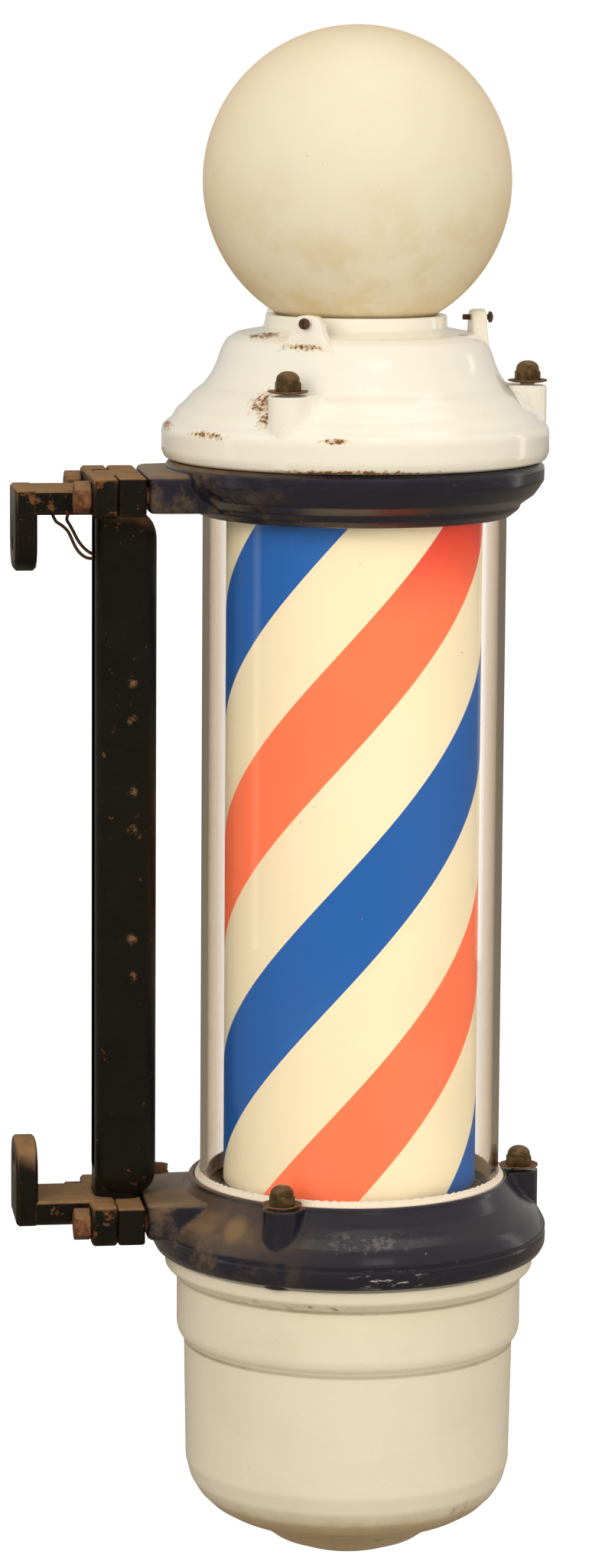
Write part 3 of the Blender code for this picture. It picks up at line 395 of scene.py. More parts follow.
ball = np.linspace(math.pi / 2, -math.acos(NECK_RADIUS / GLOBE_RADIUS), 110)
outer_ball = np.column_stack([GLOBE_RADIUS * np.cos(ball), GLOBE_RADIUS * np.sin(ball)])
outer_ball[0, 0] = 0.0
inner = np.linspace(-math.acos(0.0465 / (GLOBE_RADIUS - GLOBE_WALL)), math.pi / 2, 60)
inner_ball = (GLOBE_RADIUS - GLOBE_WALL) * np.column_stack([np.cos(inner), np.sin(inner)])
inner_ball[-1, 0] = 0.0
neck = soft_path(
    [
        (NECK_RADIUS, -0.0900), (NECK_RADIUS, -0.1080), (NECK_RADIUS + 0.0013, -0.1095),
        (NECK_RADIUS + 0.0013, NECK_BOTTOM), (0.0465, NECK_BOTTOM), (0.0465, -0.0880),
    ],
    0.0006,
    0.0012,
)

opal, tree, shader, where = new_finish(
    "opal_glass", Roughness=0.38, IOR=1.5, Specular_IOR_Level=0.35, Subsurface_Weight=0.25
)
shader.inputs["Subsurface Radius"].default_value = (1.0, 0.75, 0.45)
shader.inputs["Subsurface Scale"].default_value = 0.02
height = add_node(tree, "ShaderNodeSeparateXYZ", {"Vector": where}).outputs["Z"]
low_down = ramp(tree, height, GLOBE_Z + 0.03, GLOBE_Z - 0.09)
mottle = ramp(tree, noise(tree, where, 26.0, 5.0, 0.6), 0.42, 0.68)
stain = times(tree, mottle, calc(tree, "MULTIPLY_ADD", low_down, 0.75, 0.10))
# Painted shade: the globe's colour turns darker and browner towards its outline, as its surface turns from
# the view.
painted_edge_shade = ramp(
    tree, add_node(tree, "ShaderNodeLayerWeight", {"Blend": 0.35}).outputs["Facing"], 0.05, 0.95
)
face = blend_colour(tree, painted_edge_shade, (0.97, 0.845, 0.635), (0.90, 0.68, 0.43))
glow = blend_colour(tree, stain, face, (0.84, 0.66, 0.37))
specks = ramp(tree, noise(tree, where, 300.0, 2.0), 0.74, 0.78)
feed(shader, "Base Color", blend_colour(tree, times(tree, specks, 0.35), glow, (0.45, 0.32, 0.16)))
feed(shader, "Roughness", calc(tree, "MULTIPLY_ADD", mottle, 0.10, 0.34))
bump(tree, shader, noise(tree, where, 40.0, 2.0), 0.05, 0.0015)

grid_piece(
    "opal_globe",
    turned(np.vstack([outer_ball, neck, inner_ball]), 160),
    opal,
    "globe",
    "glass_globe",
)

# ---- Cap casting ----
# A bell of cast iron under thick cream-white porcelain enamel. Its collar takes the globe's neck,
# three lugs carry the globe screws, and three bosses take the nuts that hold it down on the ring.
COLLAR_RADIUS = 0.060
COLLAR_TOP = -0.087
CAP_RIM_RADIUS = 0.1285
CAP_BOTTOM = -0.1830
CAP_BOSS_CIRCLE = 0.115
CAP_BOSS_TOP = -0.1331
BOSS_RADIUS = 0.0128
BOSS_ANGLES = np.radians([0.0, 120.0, -120.0])


def from_nearest_boss(angle):
    """The angle away from the closest of the three bosses, which stand a third of a turn apart."""
    third = math.tau / 3
    return (angle + third / 2) % third - third / 2


def boss_reach(radius, height, angle, circle, top, flare=0.024, base=-1.0):
    """Push the wall out to a round boss: c cos(a) + sqrt(b^2 - c^2 sin^2(a)), faded at its sides and top.

    c is the radius of the boss circle, b the boss's own radius and a the angle from its middle.
    """
    away = np.abs(from_nearest_boss(angle))
    side = np.clip(1 - (circle * np.sin(away) / BOSS_RADIUS) ** 2, 0, None)
    boss = circle * np.cos(away) + BOSS_RADIUS * np.sqrt(side)
    edge = math.asin(BOSS_RADIUS / circle)
    across = 1 - np.clip((away - edge) / flare, 0, 1)
    across = across * across * (3 - 2 * across)
    down = np.clip((top - height) / 0.0009, 0, 1) * np.clip((height - base) / 0.002, 0, 1)
    return radius + np.clip(boss - radius, 0, None) * across * down


cap_outside = soft_path(
    [
        (0.0542, COLLAR_TOP - 0.004), (0.0545, COLLAR_TOP), (COLLAR_RADIUS, COLLAR_TOP),
        (COLLAR_RADIUS, -0.0958), (0.0790, -0.0993), (0.0855, -0.1035), (0.0893, -0.1105),
        (0.0925, -0.1200), (0.0955, -0.1262), (0.1003, -0.1330), (0.1075, -0.1385),
        (0.1130, -0.1448), (0.1187, -0.1498), (0.1215, -0.1552), (0.1272, -0.1594),
        (CAP_RIM_RADIUS - 0.0002, -0.1626), (CAP_RIM_RADIUS - 0.0002, -0.1765), (0.1262, -0.1813),
        (0.1215, CAP_BOTTOM), (0.0965, CAP_BOTTOM),
    ],
    0.0010,
    0.0034,
)
cap_inside = soft_path(
    [
        (0.0965, CAP_BOTTOM), (0.0952, -0.1778), (0.1185, -0.1770), (0.1185, -0.1660),
        (0.0970, -0.1415), (0.0870, -0.1290), (0.0790, -0.1090), (0.0587, -0.1035),
        (0.0585, -0.1180), (0.0476, -0.1180), (0.0476, -0.1138), (0.0540, -0.1136),
        (0.0542, COLLAR_TOP - 0.004),
    ],
    0.0020,
    0.0030,
)
cap_path = np.vstack([cap_outside[:-1], cap_inside[:-1]])
outside_rows = np.arange(len(cap_path)) < len(cap_outside) - 1


def cap_reach(radius, height, angle):
    """Bosses on the outer wall only."""
    pushed = boss_reach(radius, height, angle, CAP_BOSS_CIRCLE, CAP_BOSS_TOP, flare=0.075, base=-0.1812)
    return np.where(outside_rows[:, None], pushed, radius)


def new_group(name, inputs, outputs):
    """A shader node group with named inputs and outputs, and the sockets inside it that hold them.

    An input that starts as one number is a float, and one that starts as three is a vector.
    """
    group = bpy.data.node_groups.new(name, "ShaderNodeTree")
    for socket, value in inputs.items():
        kind = "NodeSocketFloat" if isinstance(value, float) else "NodeSocketVector"
        group.interface.new_socket(socket, in_out="INPUT", socket_type=kind).default_value = value
    for socket in outputs:
        group.interface.new_socket(socket, in_out="OUTPUT", socket_type="NodeSocketFloat")
    return group, group.nodes.new("NodeGroupInput").outputs, group.nodes.new("NodeGroupOutput").inputs


def use_group(tree, group, **inputs):
    """Place a node group in a material with its own values."""
    node = tree.nodes.new("ShaderNodeGroup")
    node.node_tree = group
    for name, value in inputs.items():
        if isinstance(value, bpy.types.NodeSocket):
            tree.links.new(value, node.inputs[name])
        else:
            node.inputs[name].default_value = value
    return node.outputs


ORIGIN = (0.0, 0.0, 0.0)
dust_group, ins, outs = new_group(
    "settled_dust", {"Vector": ORIGIN, "Cover": 0.5, "Scale": 60.0}, ["Mask"]
)
facing = add_node(dust_group, "ShaderNodeNewGeometry").outputs["Normal"]
upward = add_node(dust_group, "ShaderNodeSeparateXYZ", {"Vector": facing}).outputs["Z"]
drift = noise(dust_group, ins["Vector"], ins["Scale"], 5.0, 0.65)
lying = times(
    dust_group, ramp(dust_group, upward, 0.15, 0.85), calc(dust_group, "MULTIPLY_ADD", drift, 1.3, 0.1)
)
dust_group.links.new(calc(dust_group, "MULTIPLY", lying, ins["Cover"], clamp=True), outs["Mask"])

chip_group, ins, outs = new_group(
    "enamel_chips", {"Vector": ORIGIN, "Amount": 0.3, "Scale": 90.0}, ["Mask", "Halo"]
)
coarse = noise(chip_group, ins["Vector"], ins["Scale"], 6.0, 0.7)
level = calc(chip_group, "SUBTRACT", 0.80, times(chip_group, ins["Amount"], 0.42))
chip_group.links.new(
    ramp(chip_group, calc(chip_group, "SUBTRACT", coarse, level), 0.0, 0.035), outs["Mask"]
)
chip_group.links.new(
    ramp(chip_group, calc(chip_group, "SUBTRACT", coarse, level), -0.17, 0.03), outs["Halo"]
)

edge_group, ins, outs = new_group(
    "worn_edges", {"Vector": ORIGIN, "Radius": 0.002, "Amount": 0.5}, ["Mask"]
)
rounded = add_node(
    edge_group, "ShaderNodeBevel", {"Radius": ins["Radius"]}, samples=4
).outputs["Normal"]
flat = add_node(edge_group, "ShaderNodeNewGeometry").outputs["Normal"]
same = add_node(
    edge_group, "ShaderNodeVectorMath", {0: rounded, 1: flat}, operation="DOT_PRODUCT"
).outputs["Value"]
turning = ramp(edge_group, calc(edge_group, "SUBTRACT", 1.0, same), 0.01, 0.14)
broken = ramp(edge_group, noise(edge_group, ins["Vector"], 140.0, 5.0, 0.7), 0.35, 0.62)
edge_group.links.new(
    calc(edge_group, "MULTIPLY", times(edge_group, turning, broken), ins["Amount"], clamp=True),
    outs["Mask"],
)


patch_group, ins, outs = new_group(
    "round_patch", {"Vector": ORIGIN, "Place": ORIGIN, "Size": (0.01, 0.01, 0.01)}, ["Mask"]
)
offset = add_node(
    patch_group, "ShaderNodeVectorMath", {0: ins["Vector"], 1: ins["Place"]}, operation="SUBTRACT"
).outputs["Vector"]
offset = add_node(
    patch_group, "ShaderNodeVectorMath", {0: offset, 1: ins["Size"]}, operation="DIVIDE"
).outputs["Vector"]
distance = add_node(
    patch_group, "ShaderNodeVectorMath", {0: offset}, operation="LENGTH"
).outputs["Value"]
patch_group.links.new(ramp(patch_group, distance, 1.0, 0.25), outs["Mask"])


def near(tree, where, place, size):
    """1 at a place in the row frame, and 0 beyond an ellipsoid with those half sizes."""
    return use_group(tree, patch_group, Vector=where, Place=place, Size=size)["Mask"]


def on_pole(radius, degrees, height):
    """A point in the row frame from its radius, its angle round the pole and its height by the globe."""
    turn = math.radians(degrees)
    return (AXIS_X + radius * math.cos(turn), radius * math.sin(turn), GLOBE_Z + height)


def largest(tree, values):
    """The largest of several masks."""
    result = values[0]
    for value in values[1:]:
        result = calc(tree, "MAXIMUM", result, value)
    return result


RUST = (0.215, 0.105, 0.042)
RUST_STAIN = (0.66, 0.42, 0.20)

cream_enamel, tree, shader, where = new_finish(
    "cream_porcelain_enamel",
    Roughness=0.16,
    Specular_IOR_Level=0.6,
    Coat_Weight=0.5,
    Coat_Roughness=0.06,
)
patches = largest(
    tree,
    [
        near(tree, where, on_pole(0.108, -130, -0.1400), (0.019, 0.022, 0.017)),
        near(tree, where, on_pole(0.115, -128, -0.1520), (0.009, 0.012, 0.016)),
        near(tree, where, on_pole(0.126, -146, -0.1612), (0.034, 0.028, 0.0040)),
        near(tree, where, on_pole(0.126, -104, -0.1612), (0.016, 0.020, 0.0030)),
        near(tree, where, on_pole(0.125, -176, -0.1600), (0.022, 0.028, 0.0055)),
        near(tree, where, on_pole(0.084, -120, -0.1045), (0.026, 0.020, 0.0040)),
        near(tree, where, on_pole(0.076, -150, -0.0990), (0.026, 0.022, 0.0040)),
        near(tree, where, on_pole(0.128, -100, -0.1815), (0.090, 0.055, 0.0034)),
        near(tree, where, on_pole(0.128, 70, -0.1815), (0.090, 0.075, 0.0030)),
    ],
)
chips = use_group(
    tree, chip_group, Vector=where, Amount=calc(tree, "MULTIPLY_ADD", patches, 0.72, 0.05), Scale=310.0
)
old = ramp(tree, noise(tree, where, 14.0, 4.0), 0.40, 0.75)
body = blend_colour(tree, times(tree, old, 0.45), (0.945, 0.910, 0.805), (0.88, 0.80, 0.63))
body = blend_colour(tree, times(tree, chips["Halo"], 0.75), body, RUST_STAIN)
feed(shader, "Base Color", blend_colour(tree, chips["Mask"], body, RUST))
feed(shader, "Roughness", calc(tree, "MULTIPLY_ADD", chips["Mask"], 0.65, 0.15))
feed(shader, "Coat Weight", calc(tree, "SUBTRACT", 0.5, times(tree, chips["Mask"], 0.5)))
ripple = times(tree, noise(tree, where, 55.0, 2.0), 0.5)
bump(tree, shader, calc(tree, "SUBTRACT", ripple, times(tree, chips["Mask"], 0.6)), 0.35, 0.0010)

grid_piece(
    "enamelled_cap",
    turned(cap_path, 360, cap_reach),
    cream_enamel,
    "root",
    "cap_casting",
    rows_closed=True,
)

# ---- Screw lugs ----
# Three bell-shaped ears cast on the cap's shoulder, clear of the collar, each tapped for a globe screw.
LUG_NEAR, LUG_FAR = 0.076, 0.086


def closed_ends(grid):
    """Add a point row at each end of a stack of rings, so that the skin closes."""
    first = np.broadcast_to(grid[:1].mean(axis=1, keepdims=True), grid[:1].shape)
    final = np.broadcast_to(grid[-1:].mean(axis=1, keepdims=True), grid[-1:].shape)
    return np.concatenate([first, grid, final])


def lug_points(angle):
    """Carry a flared ear outline through its thickness, shrinking it a little towards each face.

    The shrinking is 1 - 0.11 (1 - sqrt(1 - |d|^6)), where d runs from -1 to 1 across the thickness.
    """
    side = curve_through(
        [
            (0.0215, -0.1080), (0.0150, -0.1012), (0.0112, -0.0945), (0.0100, -0.0890),
            (0.0068, -0.0850), (0.0, -0.0837),
        ],
        8,
    )
    outline = np.vstack([side, (side[:-1] * (-1, 1))[::-1]])
    centre = np.array([0.0, -0.097])
    turn = np.linspace(-math.pi / 2, math.pi / 2, 9)
    half = (LUG_FAR - LUG_NEAR) / 2
    depth = half * np.sin(turn)
    shrink = 1 - 0.11 * (1 - np.sqrt(np.clip(1 - (np.abs(depth) / half) ** 6, 0, 1)))
    layers = centre + (outline - centre)[None] * shrink[:, None, None]
    radius = (LUG_NEAR + LUG_FAR) / 2 + depth[:, None] * np.ones(len(outline))[None]
    across, height = layers[..., 0], layers[..., 1]
    x = radius * math.cos(angle) - across * math.sin(angle)
    y = radius * math.sin(angle) + across * math.cos(angle)
    return closed_ends(np.stack([AXIS_X + x, y, GLOBE_Z + height], axis=-1))


for number, angle in enumerate(BOSS_ANGLES, 1):
    grid_piece(f"screw_lug_{number}", lug_points(angle), cream_enamel, "root")

# ---- Ring castings ----
# Two cast-iron rings in navy enamel grip the glass tube. Each has a flat arm back to the column, and
# the lower one has three bosses for its nuts. Dust lies on their tops, and the lower band is scraped.
ARM_FACE = 0.1415
ARM_HALF_WIDTH = 0.050
ARM_SHARPNESS = 26.0


def arm_reach(radius, height, angle, low, high):
    """Push the wall out to the arm's outline, 1 / (|cos(a)/f|^n + |sin(a)/w|^n)^(1/n).

    f is the arm's face, w its half width, and both draw in along a quarter circle at its long edges.
    """
    depth = np.clip(np.minimum(high - height, height - low), 0, 0.0035)
    inset = 0.0035 - np.sqrt(np.clip(0.0035**2 - (0.0035 - depth) ** 2, 0, None))
    face, width = ARM_FACE - inset, ARM_HALF_WIDTH - inset
    toward = np.cos(angle) < 0
    power = np.abs(np.cos(angle) / face) ** ARM_SHARPNESS + np.abs(
        np.sin(angle) / width
    ) ** ARM_SHARPNESS
    arm = np.where(toward, power ** (-1 / ARM_SHARPNESS), 0.0)
    inside = (height < high) & (height > low)
    return np.where(inside, np.maximum(radius, arm), radius)


navy_enamel, tree, shader, where = new_finish(
    "navy_porcelain_enamel",
    Roughness=0.3,
    Specular_IOR_Level=0.4,
    Coat_Weight=0.30,
    Coat_Roughness=0.12,
)
dust = use_group(tree, dust_group, Vector=where, Cover=1.0, Scale=70.0)["Mask"]
arm_side = ramp(
    tree,
    add_node(tree, "ShaderNodeSeparateXYZ", {"Vector": where}).outputs["X"],
    AXIS_X - 0.02,
    AXIS_X - 0.13,
)
grime = ramp(tree, noise(tree, where, 38.0, 6.0, 0.7), 0.46, 0.72)
scuffs = add_node(
    tree, "ShaderNodeMapping", {"Vector": where, "Rotation": (0.6, 0.2, 0.9), "Scale": (1.0, 14.0, 9.0)}
)
lines = ramp(tree, noise(tree, scuffs.outputs["Vector"], 42.0, 3.0, 0.7), 0.58, 0.62)
smears = ramp(tree, noise(tree, where, 150.0, 5.0, 0.75), 0.50, 0.62)
spots = ramp(tree, noise(tree, where, 420.0, 3.0), 0.70, 0.76)
worn = use_group(tree, edge_group, Vector=where, Radius=0.0016, Amount=0.5)["Mask"]
scraped = near(tree, where, on_pole(0.132, -86, -0.7085), (0.034, 0.034, 0.0090))
scuffed = near(tree, where, on_pole(0.120, -92, -0.6850), (0.052, 0.040, 0.0085))
dust = times(tree, dust, calc(tree, "MULTIPLY_ADD", arm_side, 0.85, 0.035))
run = near(tree, where, on_pole(0.121, -136, -0.684), (0.015, 0.018, 0.020))
dust = calc(tree, "MAXIMUM", dust, times(tree, run, 0.75))
dirt = calc(
    tree, "MAXIMUM", dust, times(tree, grime, calc(tree, "MULTIPLY_ADD", arm_side, 0.45, 0.015))
)
body = blend_colour(
    tree, noise(tree, where, 30.0, 3.0), (0.0070, 0.0068, 0.0150), (0.0125, 0.0118, 0.0260)
)
body = blend_colour(tree, dirt, body, (0.30, 0.185, 0.088))
pale = largest(
    tree,
    [
        times(tree, lines, scraped),
        times(tree, smears, times(tree, scuffed, 0.22)),
        times(tree, spots, calc(tree, "MULTIPLY_ADD", grime, 0.45, 0.06)),
        times(tree, worn, 0.5),
    ],
)
feed(shader, "Base Color", blend_colour(tree, pale, body, (0.46, 0.42, 0.38)))
feed(
    shader,
    "Roughness",
    calc(tree, "MULTIPLY_ADD", calc(tree, "MAXIMUM", dirt, pale), 0.60, 0.22, clamp=True),
)
feed(
    shader,
    "Coat Weight",
    calc(tree, "MULTIPLY_ADD", calc(tree, "MAXIMUM", dirt, pale), -0.30, 0.30, clamp=True),
)
cast = noise(tree, where, 190.0, 4.0, 0.6)
bump(tree, shader, calc(tree, "ADD", cast, times(tree, dirt, 0.8)), 0.28, 0.0009)

UPPER_RING_TOP = -0.1833
UPPER_RING_BOTTOM = -0.219
RING_BORE = 0.1015
upper_outside = soft_path(
    [
        (0.1018, UPPER_RING_TOP), (0.1228, UPPER_RING_TOP), (0.1254, -0.1858), (0.1254, -0.1950),
        (0.1226, -0.1995), (0.1190, -0.2045), (0.1140, -0.2080), (0.1102, -0.2108),
        (0.1092, -0.2140), (0.1052, -0.2172), (0.1030, UPPER_RING_BOTTOM),
        (RING_BORE, UPPER_RING_BOTTOM),
    ],
    0.0007,
    0.0030,
)
upper_bore = np.column_stack(
    [np.full(12, RING_BORE), np.linspace(UPPER_RING_BOTTOM, UPPER_RING_TOP, 14)[1:-1]]
)
upper_path = np.vstack([upper_outside, upper_bore])


def upper_reach(radius, height, angle):
    """The arm, outside the bore only."""
    return np.where(
        radius > RING_BORE + 0.0008, arm_reach(radius, height, angle, -0.2146, -0.1893), radius
    )


grid_piece(
    "navy_upper_ring",
    turned(upper_path, 640, upper_reach),
    navy_enamel,
    "root",
    "upper_ring_casting",
    rows_closed=True,
)

LOWER_BAND_RADIUS = 0.1332
LOWER_BOSS_CIRCLE = 0.1163
LOWER_BOSS_TOP = -0.6652
lower_outside = soft_path(
    [
        (0.1050, -0.6668), (0.1056, -0.6655), (0.1082, -0.6658), (0.1090, -0.6685),
        (0.1150, -0.6776), (0.1210, -0.6838), (0.1275, -0.6892), (0.1302, -0.6932),
        (0.1326, -0.6978), (LOWER_BAND_RADIUS, -0.6996), (0.1322, -0.7014),
        (LOWER_BAND_RADIUS - 0.0002, -0.7036), (LOWER_BAND_RADIUS - 0.0004, -0.7105),
        (0.1304, -0.7149), (0.1262, -0.7173), (0.1105, -0.7175),
    ],
    0.0007,
    0.0026,
)
lower_inside = soft_path(
    [
        (0.1105, -0.7175), (0.1095, -0.7155), (0.1095, -0.6824), (0.0920, -0.6820),
        (0.0920, -0.6762), (0.1048, -0.6760), (0.1050, -0.6668),
    ],
    0.0016,
    0.0020,
)
lower_path = np.vstack([lower_outside[:-1], lower_inside[:-1]])
lower_rows = (np.arange(len(lower_path)) < len(lower_outside) - 1) & (lower_path[:, 0] > 0.1076)


def lower_reach(radius, height, angle):
    """The arm and the three bosses, on the outer wall only."""
    pushed = arm_reach(radius, height, angle, -0.699, -0.674)
    pushed = boss_reach(pushed, height, angle, LOWER_BOSS_CIRCLE, LOWER_BOSS_TOP, flare=0.016)
    return np.where(lower_rows[:, None], pushed, radius)


grid_piece(
    "navy_lower_ring",
    turned(lower_path, 560, lower_reach),
    navy_enamel,
    "root",
    "lower_ring_casting",
    rows_closed=True,
)

# ---- Glass tube ----
# A straight tube of clear glass with ground ends, held in felt at the top and rope packing below.
# Its colour turns warm beige towards its outline, where the view grazes the glass, as painted shade.
GLASS_RADIUS = 0.1008
GLASS_WALL = 0.0045
glass_path = soft_path(
    [
        (GLASS_RADIUS - GLASS_WALL, -0.6735), (GLASS_RADIUS, -0.6735), (GLASS_RADIUS, -0.1863),
        (GLASS_RADIUS - GLASS_WALL, -0.1863),
    ],
    0.0022,
    0.0012,
    closed=True,
)
clear_glass, tree, shader, where = new_finish(
    "clear_glass", Roughness=0.0, IOR=1.46, Transmission_Weight=1.0, Specular_IOR_Level=0.25
)
# Painted shade: the base colour runs from near white face-on to warm beige where the view grazes the
# glass.
grazing_edge_shade = add_node(tree, "ShaderNodeLayerWeight", {"Blend": 0.5}).outputs["Facing"]
tint_with_edge_shade = blend_colour(tree, ramp(tree, grazing_edge_shade, 0.42, 0.68), (0.985, 0.970, 0.935), (0.90, 0.71, 0.54))
feed(shader, "Base Color", tint_with_edge_shade)
shadow = add_node(tree, "ShaderNodeLightPath").outputs["Is Shadow Ray"]
see_through = add_node(tree, "ShaderNodeBsdfTransparent", {"Color": (0.97, 0.955, 0.93, 1)})
passing = add_node(
    tree, "ShaderNodeMixShader", {0: shadow, 1: shader.outputs[0], 2: see_through.outputs[0]}
)
tree.links.new(passing.outputs[0], tree.nodes["Material Output"].inputs["Surface"])
grid_piece(
    "clear_glass_tube",
    turned(glass_path, 192),
    clear_glass,
    "root",
    "glass_cylinder",
    rows_closed=True,
)

# ---- Striped cylinder ----
# A tin tube covered with varnished paper in red, cream and blue. The bands climb to the right, with
# two of each colour round the tube, and the whole tube turns on the spindle.
STRIPE_RADIUS = 0.085
STRIPE_RISE = 0.0970  # metres of height for each radian round the tube
STRIPE_PERIOD = math.pi * STRIPE_RISE
RED_CENTRE = -0.3280
RED_ANGLE = math.radians(-96.6)

stripes, tree, shader, where = new_finish("striped_paper", Roughness=0.55, Specular_IOR_Level=0.18)
split = add_node(
    tree,
    "ShaderNodeSeparateXYZ",
    {
        "Vector": add_node(
            tree, "ShaderNodeMapping", {"Vector": where, "Location": (-AXIS_X, 0, -GLOBE_Z)}
        ).outputs[0]
    },
).outputs
turn = calc(tree, "ARCTAN2", split["Y"], split["X"])
climb = calc(tree, "SUBTRACT", split["Z"], times(tree, turn, STRIPE_RISE))
start = RED_CENTRE - STRIPE_RISE * RED_ANGLE - STRIPE_PERIOD / 8
phase = calc(
    tree,
    "FRACT",
    calc(tree, "DIVIDE", calc(tree, "SUBTRACT", climb, start - 4 * STRIPE_PERIOD), STRIPE_PERIOD),
)
is_red = calc(tree, "LESS_THAN", phase, 0.25)
is_blue = times(tree, calc(tree, "GREATER_THAN", phase, 0.5), calc(tree, "LESS_THAN", phase, 0.75))
aged = noise(tree, where, 9.0, 4.0)
# The red is painted darker towards the top of the tube.
red_darker_near_top = ramp(tree, split["Z"], -0.285, -0.222)
cream = blend_colour(tree, aged, (0.79, 0.71, 0.53), (0.75, 0.66, 0.46))
red = blend_colour(tree, red_darker_near_top, (0.82, 0.158, 0.069), (0.60, 0.040, 0.024))
blue = blend_colour(tree, aged, (0.003, 0.074, 0.310), (0.005, 0.090, 0.360))
printed = blend_colour(tree, is_blue, blend_colour(tree, is_red, cream, red), blue)
fly_specks = times(tree, ramp(tree, noise(tree, where, 240.0, 2.0), 0.76, 0.80), 0.5)
feed(shader, "Base Color", blend_colour(tree, fly_specks, printed, (0.30, 0.20, 0.10)))
bump(tree, shader, noise(tree, where, 24.0, 3.0), 0.08, 0.002)

stripe_path = soft_path(
    [
        (STRIPE_RADIUS - 0.001, -0.670), (STRIPE_RADIUS, -0.670), (STRIPE_RADIUS, -0.202),
        (STRIPE_RADIUS - 0.001, -0.202),
    ],
    0.0009,
    0.0006,
    closed=True,
)
stripe_path = stripe_path[::3]
grid_piece(
    "striped_tube",
    turned(stripe_path, 192),
    stripes,
    "rotor",
    "striped_cylinder",
    rows_closed=True,
)

# ---- Rope packing and felt ----
# White-painted rope is pushed down round the foot of the glass, so its top edge is lumpy. A plain
# felt ring lies between the top of the glass and the cap.
putty, tree, shader, where = new_finish("white_rope_packing", Roughness=0.75)
lumps = noise(tree, where, 160.0, 4.0, 0.65)
feed(shader, "Base Color", blend_colour(tree, lumps, (0.93, 0.76, 0.56), (0.98, 0.90, 0.78)))
bump(tree, shader, lumps, 0.7, 0.0012)
rope_path = soft_path(
    [
        (0.1011, -0.6720), (0.1045, -0.6720), (0.1045, -0.6657), (0.1028, -0.6640),
        (0.1023, -0.6614), (0.1011, -0.6617),
    ],
    0.0006,
    0.0012,
    closed=True,
)
rope_points = turned(rope_path, 480)
rope_turn = np.linspace(0, math.tau, 480, endpoint=False)
strands = 0.5 + 0.5 * np.sin(95 * rope_turn + 3 * np.sin(7 * rope_turn)) * np.cos(11 * rope_turn + 1.3)
top_share = np.clip((rope_path[:, 1] + 0.6657) / 0.004, 0, 1)
rope_points[..., 2] -= 0.0010 * top_share[:, None] * strands[None, :]
grid_piece("rope_packing", rope_points, putty, "root", "lower_gasket", rows_closed=True)
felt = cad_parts["upper_gasket"]
felt.data.materials.clear()
felt.data.materials.append(putty)

# ---- Bowl housing ----
# The motor's cover is a deep enamelled bowl with a rolled rim, a step below it, and a flat cone with
# a round nose underneath. Its enamel is duller than the cap's. Painted shade darkens thin lines under
# its rim and step, and browns the cone and nose underneath.
bowl_outside = [
    (0.0, -0.9249), (0.0160, -0.9243), (0.0330, -0.9213), (0.0500, -0.9148), (0.0580, -0.9090),
    (0.0640, -0.9045), (0.0840, -0.8968), (0.0930, -0.8915), (0.1012, -0.8835), (0.1068, -0.8740),
    (0.1099, -0.8620), (0.1112, -0.7860), (0.1113, -0.7802), (0.1122, -0.7770), (0.1152, -0.7730),
    (0.1163, -0.7685), (0.1163, -0.7375), (0.1168, -0.7335), (0.1202, -0.7305), (0.1243, -0.7265),
    (0.1244, -0.7179), (0.1180, -0.7179),
]
bowl_inside = [
    (0.1180, -0.7179), (0.1086, -0.7179), (0.1086, -0.7325), (0.1124, -0.7365), (0.1124, -0.7680),
    (0.1080, -0.7840), (0.1060, -0.8620), (0.1020, -0.8740), (0.0860, -0.8900), (0.0560, -0.9045),
    (0.0, -0.9214),
]
bowl_path = np.vstack(
    [soft_path(bowl_outside, 0.0010, 0.0034), soft_path(bowl_inside, 0.003, 0.004)[1:]]
)

bowl_enamel, tree, shader, where = new_finish(
    "cream_bowl_enamel", Roughness=0.30, Specular_IOR_Level=0.5, Coat_Weight=0.20, Coat_Roughness=0.22
)
chips = use_group(
    tree,
    chip_group,
    Vector=where,
    Amount=largest(
        tree,
        [
            times(tree, near(tree, where, on_pole(0.06, -80, -0.905), (0.070, 0.050, 0.016)), 0.50),
            times(tree, near(tree, where, on_pole(0.121, -120, -0.731), (0.10, 0.08, 0.007)), 0.45),
            times(tree, near(tree, where, on_pole(0.105, -50, -0.880), (0.03, 0.03, 0.012)), 0.46),
        ],
    ),
    Scale=130.0,
)
streaks = add_node(
    tree, "ShaderNodeMapping", {"Vector": where, "Scale": (1.0, 1.0, 2.0)}
).outputs["Vector"]
handled = ramp(tree, noise(tree, streaks, 13.0, 6.0, 0.62), 0.38, 0.78)
body = blend_colour(tree, times(tree, handled, 0.35), (0.89, 0.815, 0.655), (0.74, 0.655, 0.48))
level = add_node(tree, "ShaderNodeSeparateXYZ", {"Vector": where}).outputs["Z"]
# Painted shade: thin dark bands at the heights just under the rolled rim and under the step.
shade_under_rim, shade_under_step = (
    ramp(tree, calc(tree, "ABSOLUTE", calc(tree, "SUBTRACT", level, GLOBE_Z + height)), 0.0020, 0.0004)
    for height in (-0.7338, -0.7788)
)
crease_shade = times(
    tree, calc(tree, "MAXIMUM", shade_under_rim, shade_under_step), calc(tree, "MULTIPLY_ADD", handled, 0.45, 0.40)
)
body = blend_colour(tree, crease_shade, body, (0.30, 0.23, 0.13))
uneven = calc(
    tree,
    "MULTIPLY_ADD",
    noise(tree, where, 60.0, 4.0, 0.65),
    0.010,
    calc(tree, "SUBTRACT", level, 0.005),
)
